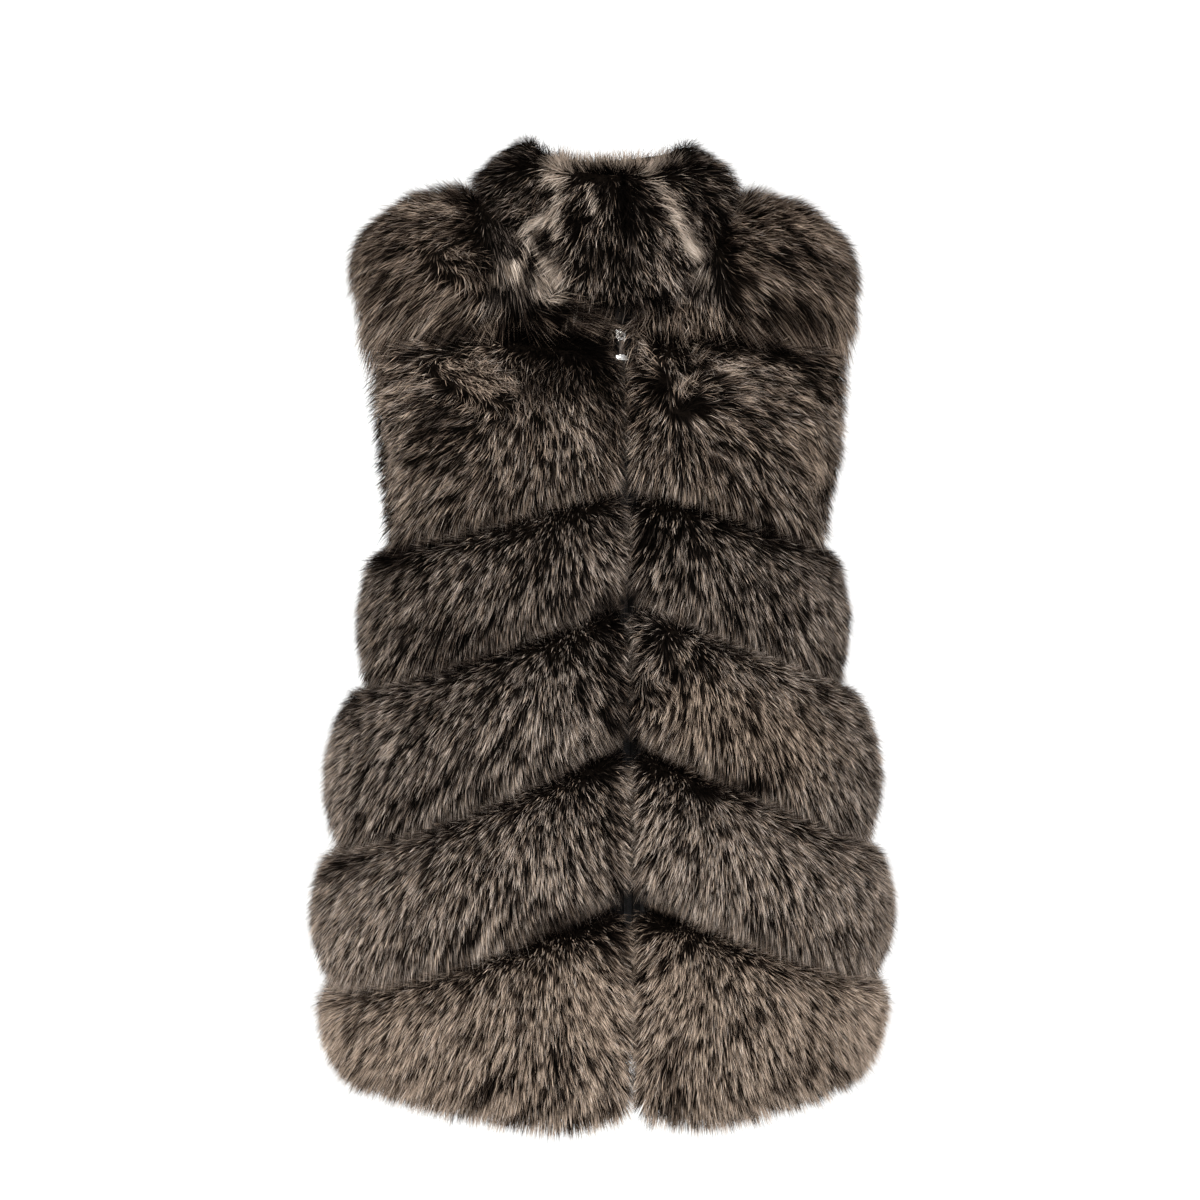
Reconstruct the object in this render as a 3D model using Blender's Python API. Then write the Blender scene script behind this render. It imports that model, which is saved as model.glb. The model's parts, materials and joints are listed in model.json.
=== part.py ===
"""Long-haired fur vest with a stand-up collar and a centre-front zip.

Metres, +Z up, front towards -Y, the wearer's left towards +X. The origin is in the middle
of the neck at the height of the two neck points, where the shoulders carry the vest.

A leather ground follows the torso as oval rings. Six fur strips lie on it from shoulder to
hem. Each strip is a thick wall with a plain inside and a bulging outside, and the strips
slope down from the zip to the side seams.
"""
import math
from collections import namedtuple

import bpy
import numpy as np

# ------------------------------------------------------------------ driving sizes
SEAM_GAP = 0.0003
LEATHER = 0.0015
NECK_HALF_WIDTH = 0.075
NECK_DROP_FRONT = 0.075
NECK_DROP_BACK = 0.015
NECK_ROUNDNESS_FRONT = 2.6    # power of the cosine by which the neckline rises to the neck point
NECK_ROUNDNESS_BACK = 1.6
SHOULDER_TIP_Z = -0.034
HEM_Z = -0.722
UNDERARM_Z = -0.280

ZIP_HALF_OPENING = 0.010      # from the centre line to the leather's front edge
NECK_COLUMNS = 5              # grid columns from the centre to the neck point
SHOULDER_COLUMNS = 5          # and on to the shoulder tip

# The torso that the leather follows: half width, depth in front and depth behind by height.
FIGURE_COLUMNS = ("z", "half_width", "front", "behind")
FIGURE = (
    (HEM_Z, 0.192, 0.146, 0.136),
    (-0.580, 0.195, 0.140, 0.132),
    (-0.475, 0.184, 0.131, 0.120),
    (-0.400, 0.170, 0.124, 0.108),
    (-0.330, 0.157, 0.120, 0.103),
    (UNDERARM_Z, 0.157, 0.120, 0.106),
    (-0.210, 0.180, 0.116, 0.109),
    (-0.160, 0.197, 0.108, 0.107),
    (-0.110, 0.205, 0.097, 0.099),
    (-0.080, 0.206, 0.088, 0.090),
    (-0.050, 0.200, 0.075, 0.078),
    (SHOULDER_TIP_Z, 0.182, 0.068, 0.071),
    (-0.015, 0.123, 0.060, 0.060),
    (0.000, NECK_HALF_WIDTH, 0.052, 0.046),
)

# Where the leather ends beside the arm, as an angle from the centre line.
ARMHOLE_COLUMNS = ("z", "degrees")
ARMHOLE = (
    (UNDERARM_Z, 90.0),
    (-0.268, 70.0),
    (-0.250, 61.0),
    (-0.210, 53.0),
    (-0.160, 49.0),
    (-0.110, 49.0),
    (-0.080, 53.0),
    (-0.050, 64.0),
    (SHOULDER_TIP_Z, 90.0),
)

# Fur strips, top to bottom: heights of the upper and lower edge on the leather at the centre
# front and at the side, and how far the fur stands off. The back is level at the side's heights.
Strip = namedtuple("Strip", "upper_centre upper_side lower_centre lower_side fur")
STRIPS = (
    Strip(None, None, -0.108, -0.106, 0.040),
    Strip(-0.118, -0.110, -0.222, -0.268, 0.046),
    Strip(-0.240, UNDERARM_Z, -0.311, -0.399, 0.054),
    Strip(-0.331, -0.405, -0.425, -0.532, 0.057),
    Strip(-0.447, -0.538, -0.549, -0.646, 0.057),
    Strip(-0.571, -0.652, HEM_Z, -0.692, 0.051),
)
YOKE = 0                      # place of the shoulder strip in the table
HEM = len(STRIPS) - 1         # and of the lowest strip
ARM_STRIPS = 2                # strips that end at the armhole

# Section of a strip from its upper to its lower edge: share of the way down, share of the height.
SECTION = ((0.00, 0.46), (0.12, 0.82), (0.36, 0.99), (0.62, 1.00), (0.87, 0.80), (1.00, 0.40))
YOKE_SECTION = ((0.00, 1.00), (0.04, 1.00), (0.15, 1.00), (0.38, 1.00), (0.72, 0.96), (1.00, 0.44))
HEM_SECTION = ((0.00, 0.44), (0.12, 0.80), (0.36, 0.97), (0.62, 1.00), (0.87, 0.96), (1.00, 0.84))

NECK_RAMP = 0.058             # the yoke's fur reaches its full height this far from the collar
NECK_RAMP_WEIGHTS = (1.0, 1.0, 0.6)   # distances count less downwards, so the front rises slower
NECK_RAMP_START = 0.003
ZIP_EDGE_HEIGHTS = (0.62, 0.92)   # share of the fur's height in the two columns beside the zip
ZIP_OVERHANG = 0.0085         # the fur leans this far over the zip from each side
OVERHANG_STARTS = 0.25        # fur lower than this share of its full height does not lean over
OVERHANG_FULL = 0.55          # and from this share on it leans over fully
PULL_CLEARANCE_Z = (-0.145, -0.080)   # no overhang here, where the zip pull swings

ARM_OVERHANG_INNER = 0.026    # fur beyond the leather at the armhole, on its inside
ARM_OVERHANG_OUTER = 0.047    # and on its outside
ARM_EDGE_PUSH = 0.026
ARM_DROOP = 0.8               # how steeply the fur hangs over the shoulder tip
ARM_EDGE_HEIGHT = 0.90
ARM_TIP_HEIGHT = 0.45
HEM_OVERHANG_INNER = 0.030
HEM_OVERHANG_OUTER = 0.042
HEM_EDGE_PUSH = 0.012
HEM_TIP_HEIGHT = 0.42
HEM_CORNER = (0.22, 0.78)     # share of the hem's overhang in the two columns beside the slit

# Collar by angle round the neck from the centre front: height of the leather's upper edge and
# how far it leans in, heights of the fur's underside halfway out and of its lower outer edge,
# how far the fur stands out, and how far its top falls from the leather to its outer edge.
COLLAR_COLUMNS = ("degrees", "leather_top", "lean", "under", "low", "reach", "fall")
COLLAR = (
    (0.0, 0.012, 0.000, -0.076, -0.088, 0.048, 0.010),
    (21.0, 0.016, -0.001, -0.068, -0.077, 0.048, 0.010),
    (36.0, 0.024, -0.004, -0.032, -0.042, 0.048, 0.014),
    (50.0, 0.034, -0.007, -0.006, -0.005, 0.046, 0.022),
    (69.0, 0.044, -0.010, 0.009, 0.014, 0.045, 0.028),
    (90.0, 0.048, -0.012, 0.013, 0.021, 0.044, 0.030),
    (109.0, 0.050, -0.010, 0.010, 0.016, 0.044, 0.028),
    (124.0, 0.049, -0.007, 0.000, -0.002, 0.045, 0.024),
    (140.0, 0.048, -0.004, -0.009, -0.018, 0.046, 0.018),
    (158.0, 0.046, -0.002, -0.018, -0.028, 0.047, 0.014),
    (180.0, 0.044, 0.000, -0.021, -0.032, 0.048, 0.012),
)
# Section of the collar's fur from the leather's upper edge over the crest and down: shares of the
# reach and of the lean, the level it is at, and the share of the fall below that level.
COLLAR_SECTION = (
    (0.10, 1.0, "crest", 0.10),
    (0.48, 1.0, "crest", 0.45),
    (0.86, 0.8, "crest", 1.0),
    (1.00, 0.5, "middle", 0.0),
    (0.88, 0.0, "low", 0.0),
    (0.45, 0.0, "under", 0.0),
)
COLLAR_RISE = 0.022           # fur above the leather's upper edge
COLLAR_TUCK = 0.002           # the stand reaches this far below the neckline, inside
COLLAR_SEAM = 0.0004          # between the stand's outer face and the neckline or the fur
COLLAR_FRONT_GAP = 0.0015     # from the centre line to the stand's and the fur's front end
COLLAR_FOOT = 0.008           # the fur starts this far above the neckline
COLLAR_PARTING = 3            # neck column at which the front fur parts from the side fur
PARTING_PINCH = 0.55          # share of the fur's reach beside the parting

TAPE_REACH = 0.016
TAPE_GAUGE = 0.0010
TAPE_SINK = 0.0007            # the tape lies this far inside the leather
CHAIN_HALF_WIDTH = 0.0029
CHAIN_GAUGE = 0.0025
CHAIN_PROUD = 0.0008
TAPE_TOP_Z = -0.080
CHAIN_TOP_Z = -0.1060
ZIP_BOTTOM_Z = -0.700
ZIP_ROWS = 30

SLIDER_Z = -0.1080
SLIDER_WIDTH = 0.0090
SLIDER_LENGTH = 0.0110
SLIDER_PLATE = 0.0016
SLIDER_CHAMFER = 0.0020
SLIDER_POST = 0.0024
BAIL_WIDTH = 0.0030
BAIL_LENGTH = 0.0060
BAIL_HEIGHT = 0.0042
BAIL_HOLE = 0.0028
BAIL_ROOF = 0.0011            # metal outside the bail's hole
BAIL_CHAMFER = 0.0010
POST_LENGTH = 0.0018
POST_CHAMFER = 0.0004
POST_UP = 0.0044              # the post's middle above the slider's middle

RING_WIDTH = 0.0080
RING_LENGTH = 0.0095
RING_WIRE = 0.0014
RING_GRIP = 0.0006            # the strap's end stands this far above the link's lower bar
STRAP_WIDTH = 0.0045
STRAP_LENGTH = 0.0140
STRAP_GAUGE = 0.0018
STRAP_CHAMFER = 0.0006
END_WIDTH = 0.0114
END_LENGTH = 0.0046
END_GAUGE = 0.0030
END_CHAMFER = 0.0007
END_GRIP = 0.0012             # the end bar is crimped over this much of the strap

SHARP_ANGLE = 50.0            # degrees; flatter edges are shaded smooth
LEATHER_LOOK = ((0.012, 0.011, 0.011), 0.45, 0.0)
FUR_LOOK = ((0.10, 0.085, 0.07), 0.85, 0.0)
COLLAR_LOOK = ((0.07, 0.06, 0.05), 0.85, 0.0)
TAPE_LOOK = ((0.015, 0.015, 0.017), 0.8, 0.0)
METAL_LOOK = ((0.72, 0.71, 0.69), 0.25, 1.0)


# ------------------------------------------------------------------ curves and meshes
def column(table, names, name):
    """One named column of a table, as an array."""
    place = names.index(name)
    return np.array([row[place] for row in table], float)


def smooth(xs, ys, x):
    """Smooth curve through the points (xs, ys) that never overshoots them; xs rise."""
    step = np.diff(xs)
    rise = np.diff(ys) / step
    slope = np.zeros(len(xs))
    slope[0], slope[-1] = rise[0], rise[-1]
    product = rise[:-1] * rise[1:]
    total = np.where(product > 0, rise[:-1] + rise[1:], 1.0)
    slope[1:-1] = np.where(product > 0, 2.0 * product / total, 0.0)
    x = np.clip(x, xs[0], xs[-1])
    place = np.clip(np.searchsorted(xs, x) - 1, 0, len(xs) - 2)
    t = (x - xs[place]) / step[place]
    return ((1 + 2 * t) * (1 - t) ** 2 * ys[place] + t * (1 - t) ** 2 * step[place] * slope[place]
            + t * t * (3 - 2 * t) * ys[place + 1] - t * t * (1 - t) * step[place] * slope[place + 1])


def figure(name, z):
    return smooth(column(FIGURE, FIGURE_COLUMNS, "z"), column(FIGURE, FIGURE_COLUMNS, name), z)


def armhole_angle(z):
    heights = column(ARMHOLE, ARMHOLE_COLUMNS, "z")
    angles = column(ARMHOLE, ARMHOLE_COLUMNS, "degrees")
    return np.radians(smooth(heights, angles, z))


def edge_angle(z):
    """Angle at which the leather ends at this height: the armhole, or the side seam below it."""
    return np.where(z > UNDERARM_Z, armhole_angle(z), math.pi / 2)


def unit(vectors):
    return vectors / np.linalg.norm(vectors, axis=-1, keepdims=True)


def torso_skin(angle, z, front):
    """Points and outward normals of the torso at angles from the centre front or centre back."""
    facing = -1.0 if front else 1.0
    depth_name = "front" if front else "behind"
    width, depth = figure("half_width", z), figure(depth_name, z)
    step = 0.0005
    width_slope = (figure("half_width", z + step) - figure("half_width", z - step)) / (2 * step)
    depth_slope = (figure(depth_name, z + step) - figure(depth_name, z - step)) / (2 * step)
    x = width * np.sin(angle)
    y = facing * depth * np.cos(angle)
    steepness = x * x * width_slope / width ** 3 + y * y * depth_slope / depth ** 3
    normals = unit(np.stack([x / width ** 2, y / depth ** 2, -steepness], axis=-1))
    points = np.stack([x, y + facing * SEAM_GAP / 2, z], axis=-1)
    return points, normals


def grid_faces(rows, columns, start, flip):
    """Triangles of a grid of vertices; every cell is split along the same diagonal."""
    faces = []
    for row in range(rows - 1):
        for place in range(columns - 1):
            a = start + row * columns + place
            b, c, d = a + 1, a + columns + 1, a + columns
            cell = [(a, b, c), (a, c, d)]
            faces += [face[::-1] for face in cell] if flip else cell
    return faces


def border(rows, columns):
    """Indices round the edge of a grid, in order."""
    top = list(range(columns))
    right = [row * columns + columns - 1 for row in range(1, rows)]
    bottom = [(rows - 1) * columns + place for place in range(columns - 2, -1, -1)]
    left = [row * columns for row in range(rows - 2, 0, -1)]
    return top + right + bottom + left


def signed_volume(vertices, faces):
    corners = vertices[np.array(faces)]
    return np.einsum("ij,ij->i", corners[:, 0], np.cross(corners[:, 1], corners[:, 2])).sum() / 6


def add_object(name, vertices, faces, look, origin=(0.0, 0.0, 0.0)):
    """A closed triangle mesh about its origin as a named object with its own material."""
    if signed_volume(vertices, faces) < 0:
        faces = [face[::-1] for face in faces]
    mesh = bpy.data.meshes.new(name)
    mesh.from_pydata(vertices.tolist(), [], faces)
    mesh.shade_smooth()
    mesh.set_sharp_from_angle(angle=math.radians(SHARP_ANGLE))
    piece = bpy.data.objects.new(name, mesh)
    piece.location = origin
    bpy.context.collection.objects.link(piece)
    mesh.materials.append(make_material(name, look))
    return piece


def make_material(name, look):
    colour, roughness, metallic = look
    material = bpy.data.materials.new(name)
    material.use_nodes = True
    shader = material.node_tree.nodes["Principled BSDF"]
    shader.inputs["Base Color"].default_value = (*colour, 1.0)
    shader.inputs["Roughness"].default_value = roughness
    shader.inputs["Metallic"].default_value = metallic
    material.diffuse_color = (*colour, 1.0)
    return material


def add_wall(name, inner, outer, look):
    """A closed wall between two grids of points of the same shape."""
    rows, columns = inner.shape[:2]
    count = rows * columns
    vertices = np.concatenate([inner.reshape(-1, 3), outer.reshape(-1, 3)])
    faces = grid_faces(rows, columns, 0, True) + grid_faces(rows, columns, count, False)
    edge = border(rows, columns)
    for here, after in zip(edge, edge[1:] + edge[:1]):
        faces += [(here, after, after + count), (here, after + count, here + count)]
    return add_object(name, vertices, faces, look)


def add_loft(name, sections, look, origin=(0.0, 0.0, 0.0)):
    """A closed body through a row of sections that all have the same number of points."""
    count, size = sections.shape[:2]
    faces = []
    for place in range(count - 1):
        for point in range(size):
            a = place * size + point
            b = place * size + (point + 1) % size
            faces += [(a, b, b + size), (a, b + size, a + size)]
    middles = np.stack([sections[0].mean(axis=0), sections[-1].mean(axis=0)])
    vertices = np.concatenate([sections.reshape(-1, 3), middles])
    last = (count - 1) * size
    for point in range(size):
        after = (point + 1) % size
        faces += [(after, point, count * size), (last + point, last + after, count * size + 1)]
    return add_object(name, vertices, faces, look, origin)


def mirrored(grid):
    return grid * np.array([-1.0, 1.0, 1.0])


# ------------------------------------------------------------------ the leather ground
def neckline(front):
    """Width and height of the neckline's points from the centre to the neck point."""
    drop = NECK_DROP_FRONT if front else NECK_DROP_BACK
    first = math.asin(ZIP_HALF_OPENING / NECK_HALF_WIDTH) if front else 0.0
    turn = np.linspace(first, math.pi / 2, NECK_COLUMNS + 1)
    roundness = NECK_ROUNDNESS_FRONT if front else NECK_ROUNDNESS_BACK
    return NECK_HALF_WIDTH * np.sin(turn), -drop * np.cos(turn) ** roundness


def half_panel(front):
    """Angles and heights of the grid of a half panel, from its centre edge to its outer edge.

    The first row follows the neckline and the shoulder seam. Each strip has its own rows, and
    the cells between two strips are the leather that shows in a groove.
    """
    share = np.linspace(0.0, 1.0, NECK_COLUMNS + SHOULDER_COLUMNS + 1)
    first_x = ZIP_HALF_OPENING if front else 0.0

    def strip_edge(centre, side):
        outer = float(edge_angle(np.array(side)))
        return centre + (side - centre) * np.sin(share * outer) / math.sin(outer)

    def angles_at(z):
        start = np.arcsin(first_x / figure("half_width", z))
        return start + (edge_angle(z[-1]) - start) * share

    neck_x, neck_z = neckline(front)
    seam_z = np.linspace(0.0, SHOULDER_TIP_Z, SHOULDER_COLUMNS + 1)[1:]
    top_x = np.concatenate([neck_x, figure("half_width", seam_z)])
    top_z = np.concatenate([neck_z, seam_z])

    angle_rows, height_rows = [], []
    for number, strip in enumerate(STRIPS):
        lower = strip_edge(strip.lower_centre if front else strip.lower_side, strip.lower_side)
        if number == YOKE:
            lower_x = figure("half_width", lower) * np.sin(angles_at(lower))
            for down, _ in YOKE_SECTION:
                z = top_z + (lower - top_z) * down
                x = top_x + (lower_x - top_x) * down
                angle_rows.append(np.arcsin(np.minimum(x / figure("half_width", z), 1.0)))
                height_rows.append(z)
            continue
        upper = strip_edge(strip.upper_centre if front else strip.upper_side, strip.upper_side)
        for down, _ in SECTION:
            z = upper + (lower - upper) * down
            angle_rows.append(angles_at(z))
            height_rows.append(z)
    return np.array(angle_rows), np.array(height_rows)


def panel_grid(front):
    """Points and normals of a half panel at +X."""
    angles, heights = half_panel(front)
    return torso_skin(angles, heights, front)


def whole_back(grid):
    """Both halves of the back as one grid from -X to +X."""
    return np.concatenate([mirrored(grid)[:, :0:-1], grid], axis=1)


def strip_rows(number):
    size = len(SECTION)
    return slice(number * size, (number + 1) * size)


# ------------------------------------------------------------------ fur strips
def neck_ramp(points, neck_points):
    """Share of the full height that the yoke's fur has at each point near the collar."""
    ways = (points[:, :, None, :] - neck_points[None, None, :, :]) * np.array(NECK_RAMP_WEIGHTS)
    gaps = np.linalg.norm(ways, axis=-1)
    share = np.clip(gaps.min(axis=-1) / NECK_RAMP, 0.0, 1.0)
    return share * share * (3 - 2 * share)


def fur_strip(points, normals, number, front):
    """Inner and outer grid of a half strip at +X, from its centre edge to its outer edge."""
    height = STRIPS[number].fur
    section = {YOKE: YOKE_SECTION, HEM: HEM_SECTION}.get(number, SECTION)
    p, n = points[strip_rows(number)], normals[strip_rows(number)]
    along = unit(np.gradient(p, axis=1))
    down = unit(np.gradient(p, axis=0))
    rise = height * np.array([share for _, share in section])[:, None] * np.ones(p.shape[1])
    push_along = np.zeros(p.shape[:2])
    push_down = np.zeros(p.shape[:2])

    if number == YOKE:
        neck_points = p[0, :NECK_COLUMNS + 1]
        ramp = neck_ramp(p, neck_points)
        rise = NECK_RAMP_START + (rise - NECK_RAMP_START) * ramp
    if front:
        rise[:, 0] *= ZIP_EDGE_HEIGHTS[0]
        rise[:, 1] *= ZIP_EDGE_HEIGHTS[1]
        low, high = PULL_CLEARANCE_Z
        clear = (p[:, 0, 2] > low) & (p[:, 0, 2] < high)
        fullness = (rise[:, 0] / height - OVERHANG_STARTS) / (OVERHANG_FULL - OVERHANG_STARTS)
        push_along[:, 0] = np.where(clear, 0.0, -ZIP_OVERHANG * np.clip(fullness, 0.0, 1.0))
    at_arm = number < ARM_STRIPS
    if at_arm:
        rise[:, -1] *= ARM_EDGE_HEIGHT
        if number == YOKE:
            along[:, -1, 2] -= ARM_DROOP * (1.0 - np.array([share for share, _ in section]))
            along = unit(along)
        push_along[:, -1] = ARM_EDGE_PUSH
    if number == HEM:
        push_down[-1] = HEM_EDGE_PUSH

    base = p + n * (LEATHER + SEAM_GAP)
    outer = base + n * rise[..., None] + along * push_along[..., None] + down * push_down[..., None]
    inner = base.copy()
    if at_arm:
        edge, way, normal = base[:, -1:], along[:, -1:], n[:, -1:]
        inner = np.concatenate([inner, edge + way * ARM_OVERHANG_INNER], axis=1)
        tip_rise = (rise[:, -1:] * ARM_TIP_HEIGHT)[..., None]
        outer = np.concatenate([outer, edge + way * ARM_OVERHANG_OUTER + normal * tip_rise], axis=1)
    if number == HEM:
        share = np.ones(p.shape[1])
        if front:
            share[:len(HEM_CORNER)] = HEM_CORNER
        edge, way = base[-1:], down[-1:] * share[None, :, None]
        tip_rise = (rise[-1:] * HEM_TIP_HEIGHT)[..., None]
        inner = np.concatenate([inner, edge + way * HEM_OVERHANG_INNER], axis=0)
        outer = np.concatenate([outer, edge + way * HEM_OVERHANG_OUTER + n[-1:] * tip_rise], axis=0)
    return inner, outer


def build_panels():
    """Leather and fur of both fronts and the back."""
    points, normals = panel_grid(front=True)
    for name, turn in (("left", lambda grid: grid), ("right", mirrored)):
        add_wall(f"{name}_front_leather", turn(points), turn(points + normals * LEATHER), LEATHER_LOOK)
        for number in range(len(STRIPS)):
            inner, outer = fur_strip(points, normals, number, front=True)
            add_wall(f"{name}_front_fur_{number + 1}", turn(inner), turn(outer), FUR_LOOK)

    points, normals = panel_grid(front=False)
    add_wall("back_leather", whole_back(points), whole_back(points + normals * LEATHER), LEATHER_LOOK)
    for number in range(len(STRIPS)):
        inner, outer = fur_strip(points, normals, number, front=False)
        add_wall(f"back_fur_{number + 1}", whole_back(inner), whole_back(outer), FUR_LOOK)


# ------------------------------------------------------------------ collar
def neck_curve():
    """Neckline points at +X from the centre front to the centre back, with their angles."""
    front, _ = panel_grid(front=True)
    back, _ = panel_grid(front=False)
    start = front[0, 0] * np.array([0.0, 1.0, 1.0]) + np.array([COLLAR_FRONT_GAP, 0.0, 0.0])
    front_side = front[0, :NECK_COLUMNS]
    neck_point = (front[0, NECK_COLUMNS] + back[0, NECK_COLUMNS])[None] / 2
    back_side = back[0, NECK_COLUMNS - 1::-1]
    curve = np.concatenate([start[None], front_side, neck_point, back_side])
    angles = np.degrees(np.arctan2(curve[:, 0], -curve[:, 1]))
    angles[0] = 0.0
    return curve, angles


def collar_value(name, angles):
    degrees = column(COLLAR, COLLAR_COLUMNS, "degrees")
    return smooth(degrees, column(COLLAR, COLLAR_COLUMNS, name), angles)


def outward(curve):
    """Horizontal normals of the neck curve, pointing away from the neck."""
    flat = curve * np.array([1.0, 1.0, 0.0])
    way = unit(np.gradient(flat, axis=0))
    way[0] = (1.0, 0.0, 0.0)
    way[-1] = (-1.0, 0.0, 0.0)
    return np.stack([way[:, 1], -way[:, 0], np.zeros(len(way))], axis=-1)


def build_collar():
    """Leather stand all round the neck, and the fur on its outside in three stretches."""
    curve, angles = neck_curve()
    out = outward(curve)
    values = {name: collar_value(name, angles) for name in COLLAR_COLUMNS[1:]}
    top, lean, reach = values["leather_top"], values["lean"], values["reach"]
    low = curve[:, 2] - COLLAR_TUCK
    foot_share = (COLLAR_TUCK + COLLAR_FOOT) / (top - low)

    def place_at(distance, z):
        points = curve + out * distance[:, None]
        points[:, 2] = z
        return points

    def stand_row(share, inset=0.0):
        return place_at(lean * share - inset, low + (top - low) * share)

    def stand_face(inset):
        return np.array([stand_row(share, inset) for share in (0.0, foot_share, 1.0)])

    def all_round(grid):
        return np.concatenate([grid, mirrored(grid)[:, -2::-1]], axis=1)

    face, back_face = stand_face(COLLAR_SEAM), stand_face(COLLAR_SEAM + LEATHER)
    add_wall("collar_leather", all_round(back_face), all_round(face), LEATHER_LOOK)

    reach[COLLAR_PARTING] *= PARTING_PINCH
    crest = top + COLLAR_RISE
    levels = {"under": values["under"], "low": values["low"], "crest": crest,
              "middle": (values["low"] + crest - values["fall"]) / 2}
    outline = [stand_row(1.0)]
    for out_share, lean_share, level, fall_share in COLLAR_SECTION:
        outline.append(place_at(reach * out_share + lean * lean_share,
                                levels[level] - values["fall"] * fall_share))
    outline.append(stand_row(foot_share))
    sections = np.stack(outline, axis=1)

    front_end = sections[:COLLAR_PARTING + 1]
    around = sections[COLLAR_PARTING:].copy()
    along = np.cross((0.0, 0.0, 1.0), out[COLLAR_PARTING])
    around[0] += along * SEAM_GAP
    add_loft("collar_fur_left", front_end, COLLAR_LOOK)
    add_loft("collar_fur_right", mirrored(front_end)[::-1], COLLAR_LOOK)
    add_loft("collar_fur_back", np.concatenate([around, mirrored(around)[-2::-1]]), COLLAR_LOOK)


# ------------------------------------------------------------------ zip
def centre_line(z):
    """Points and normals of the torso on the centre front."""
    return torso_skin(np.zeros_like(z), z, front=True)


def zip_band(first_x, last_x, top_z, sink, gauge):
    """Inner and outer grid of a band that follows the centre front between two distances."""
    z = np.linspace(top_z, ZIP_BOTTOM_Z, ZIP_ROWS)
    x = np.array([first_x, last_x])
    width = figure("half_width", z)
    angles = np.arcsin(x[None, :] / width[:, None])
    points, normals = torso_skin(angles, z[:, None] * np.ones(2), front=True)
    outer = points - normals * sink
    return outer - normals * gauge, outer


def centre_frame(z):
    """Point on the centre front with its outward and upward directions in the YZ plane."""
    point, normal = centre_line(np.array([z]))
    out = normal[0]
    upward = np.array([0.0, out[2], -out[1]])
    return point[0], out, upward


def chamfered(width, length, chamfer):
    """Outline of a rectangle with cut corners, about its centre."""
    across, along = width / 2, length / 2
    return np.array([(across - chamfer, -along), (across, chamfer - along),
                     (across, along - chamfer), (across - chamfer, along),
                     (chamfer - across, along), (-across, along - chamfer),
                     (-across, chamfer - along), (chamfer - across, -along)])


def add_block(name, centre, size, chamfer, look, place):
    """A block with cut corners; centre and size are given in width, out and up at a place."""
    point, out, upward = place
    outline = chamfered(size[0], size[2], chamfer)
    sections = np.array([[np.array([centre[0] + x, 0.0, 0.0])
                          + out * (centre[1] + side * size[1] / 2) + upward * (centre[2] + z)
                          for x, z in outline] for side in (-1, 1)])
    return add_loft(name, sections, look, point)


def add_link(name, centre, size, wire, look, place):
    """An oblong link of square wire with cut corners; its origin is the place's point."""
    point, out, upward = place
    outside = chamfered(size[0], size[1], wire)
    inside = chamfered(size[0] - 2 * wire, size[1] - 2 * wire, wire / 2)
    rings = [[np.array([x, 0.0, 0.0]) + out * side * wire / 2 + upward * (centre + z) for x, z in loop]
             for loop, side in ((outside, -1), (outside, 1), (inside, 1), (inside, -1))]
    size_of_loop = len(outside)
    faces = []
    for ring in range(len(rings)):
        following = (ring + 1) % len(rings)
        for corner in range(size_of_loop):
            after = (corner + 1) % size_of_loop
            a, b = ring * size_of_loop + corner, ring * size_of_loop + after
            c, d = following * size_of_loop + after, following * size_of_loop + corner
            faces += [(a, b, c), (a, c, d)]
    return add_object(name, np.concatenate(rings), faces, look, point)


def fuse(body, tools):
    """Join blocks to a body, or cut them out of it, in order."""
    for number, (operation, tool) in enumerate(tools):
        tool.hide_render = True
        tool.display_type = "WIRE"
        step = body.modifiers.new(f"{operation.lower()}_{number}", "BOOLEAN")
        step.operation = operation
        step.solver = "EXACT"
        step.object = tool


def build_slider(place):
    """Front and back plate joined by a post above the chain's end, with a bail in front."""
    plate_out = CHAIN_PROUD + SEAM_GAP + SLIDER_PLATE / 2
    plate_in = CHAIN_PROUD - CHAIN_GAUGE - SEAM_GAP - SLIDER_PLATE / 2
    plate = (SLIDER_WIDTH, SLIDER_PLATE, SLIDER_LENGTH)
    post = (SLIDER_POST, plate_out - plate_in, POST_LENGTH)
    bail_out = plate_out + (SLIDER_PLATE + BAIL_HEIGHT) / 2
    bail = (BAIL_WIDTH, BAIL_HEIGHT + SLIDER_PLATE / 2, BAIL_LENGTH)
    hinge_out = bail_out + BAIL_HEIGHT / 2 - BAIL_ROOF - BAIL_HOLE / 2

    def block(name, centre, size, chamfer):
        return add_block(f"zip_slider{name}", centre, size, chamfer, METAL_LOOK, place)

    hole = (2 * BAIL_WIDTH, BAIL_HOLE, BAIL_HOLE)

    body = block("", (0.0, plate_out, 0.0), plate, SLIDER_CHAMFER)
    fuse(body, (
        ("UNION", block("_back", (0.0, plate_in, 0.0), plate, SLIDER_CHAMFER)),
        ("UNION", block("_post", (0.0, (plate_out + plate_in) / 2, POST_UP), post, POST_CHAMFER)),
        ("UNION", block("_bail", (0.0, bail_out - SLIDER_PLATE / 4, 0.0), bail, BAIL_CHAMFER)),
        ("DIFFERENCE", block("_hole", (0.0, hinge_out, 0.0), hole, 0.0)),
    ))
    return hinge_out


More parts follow.
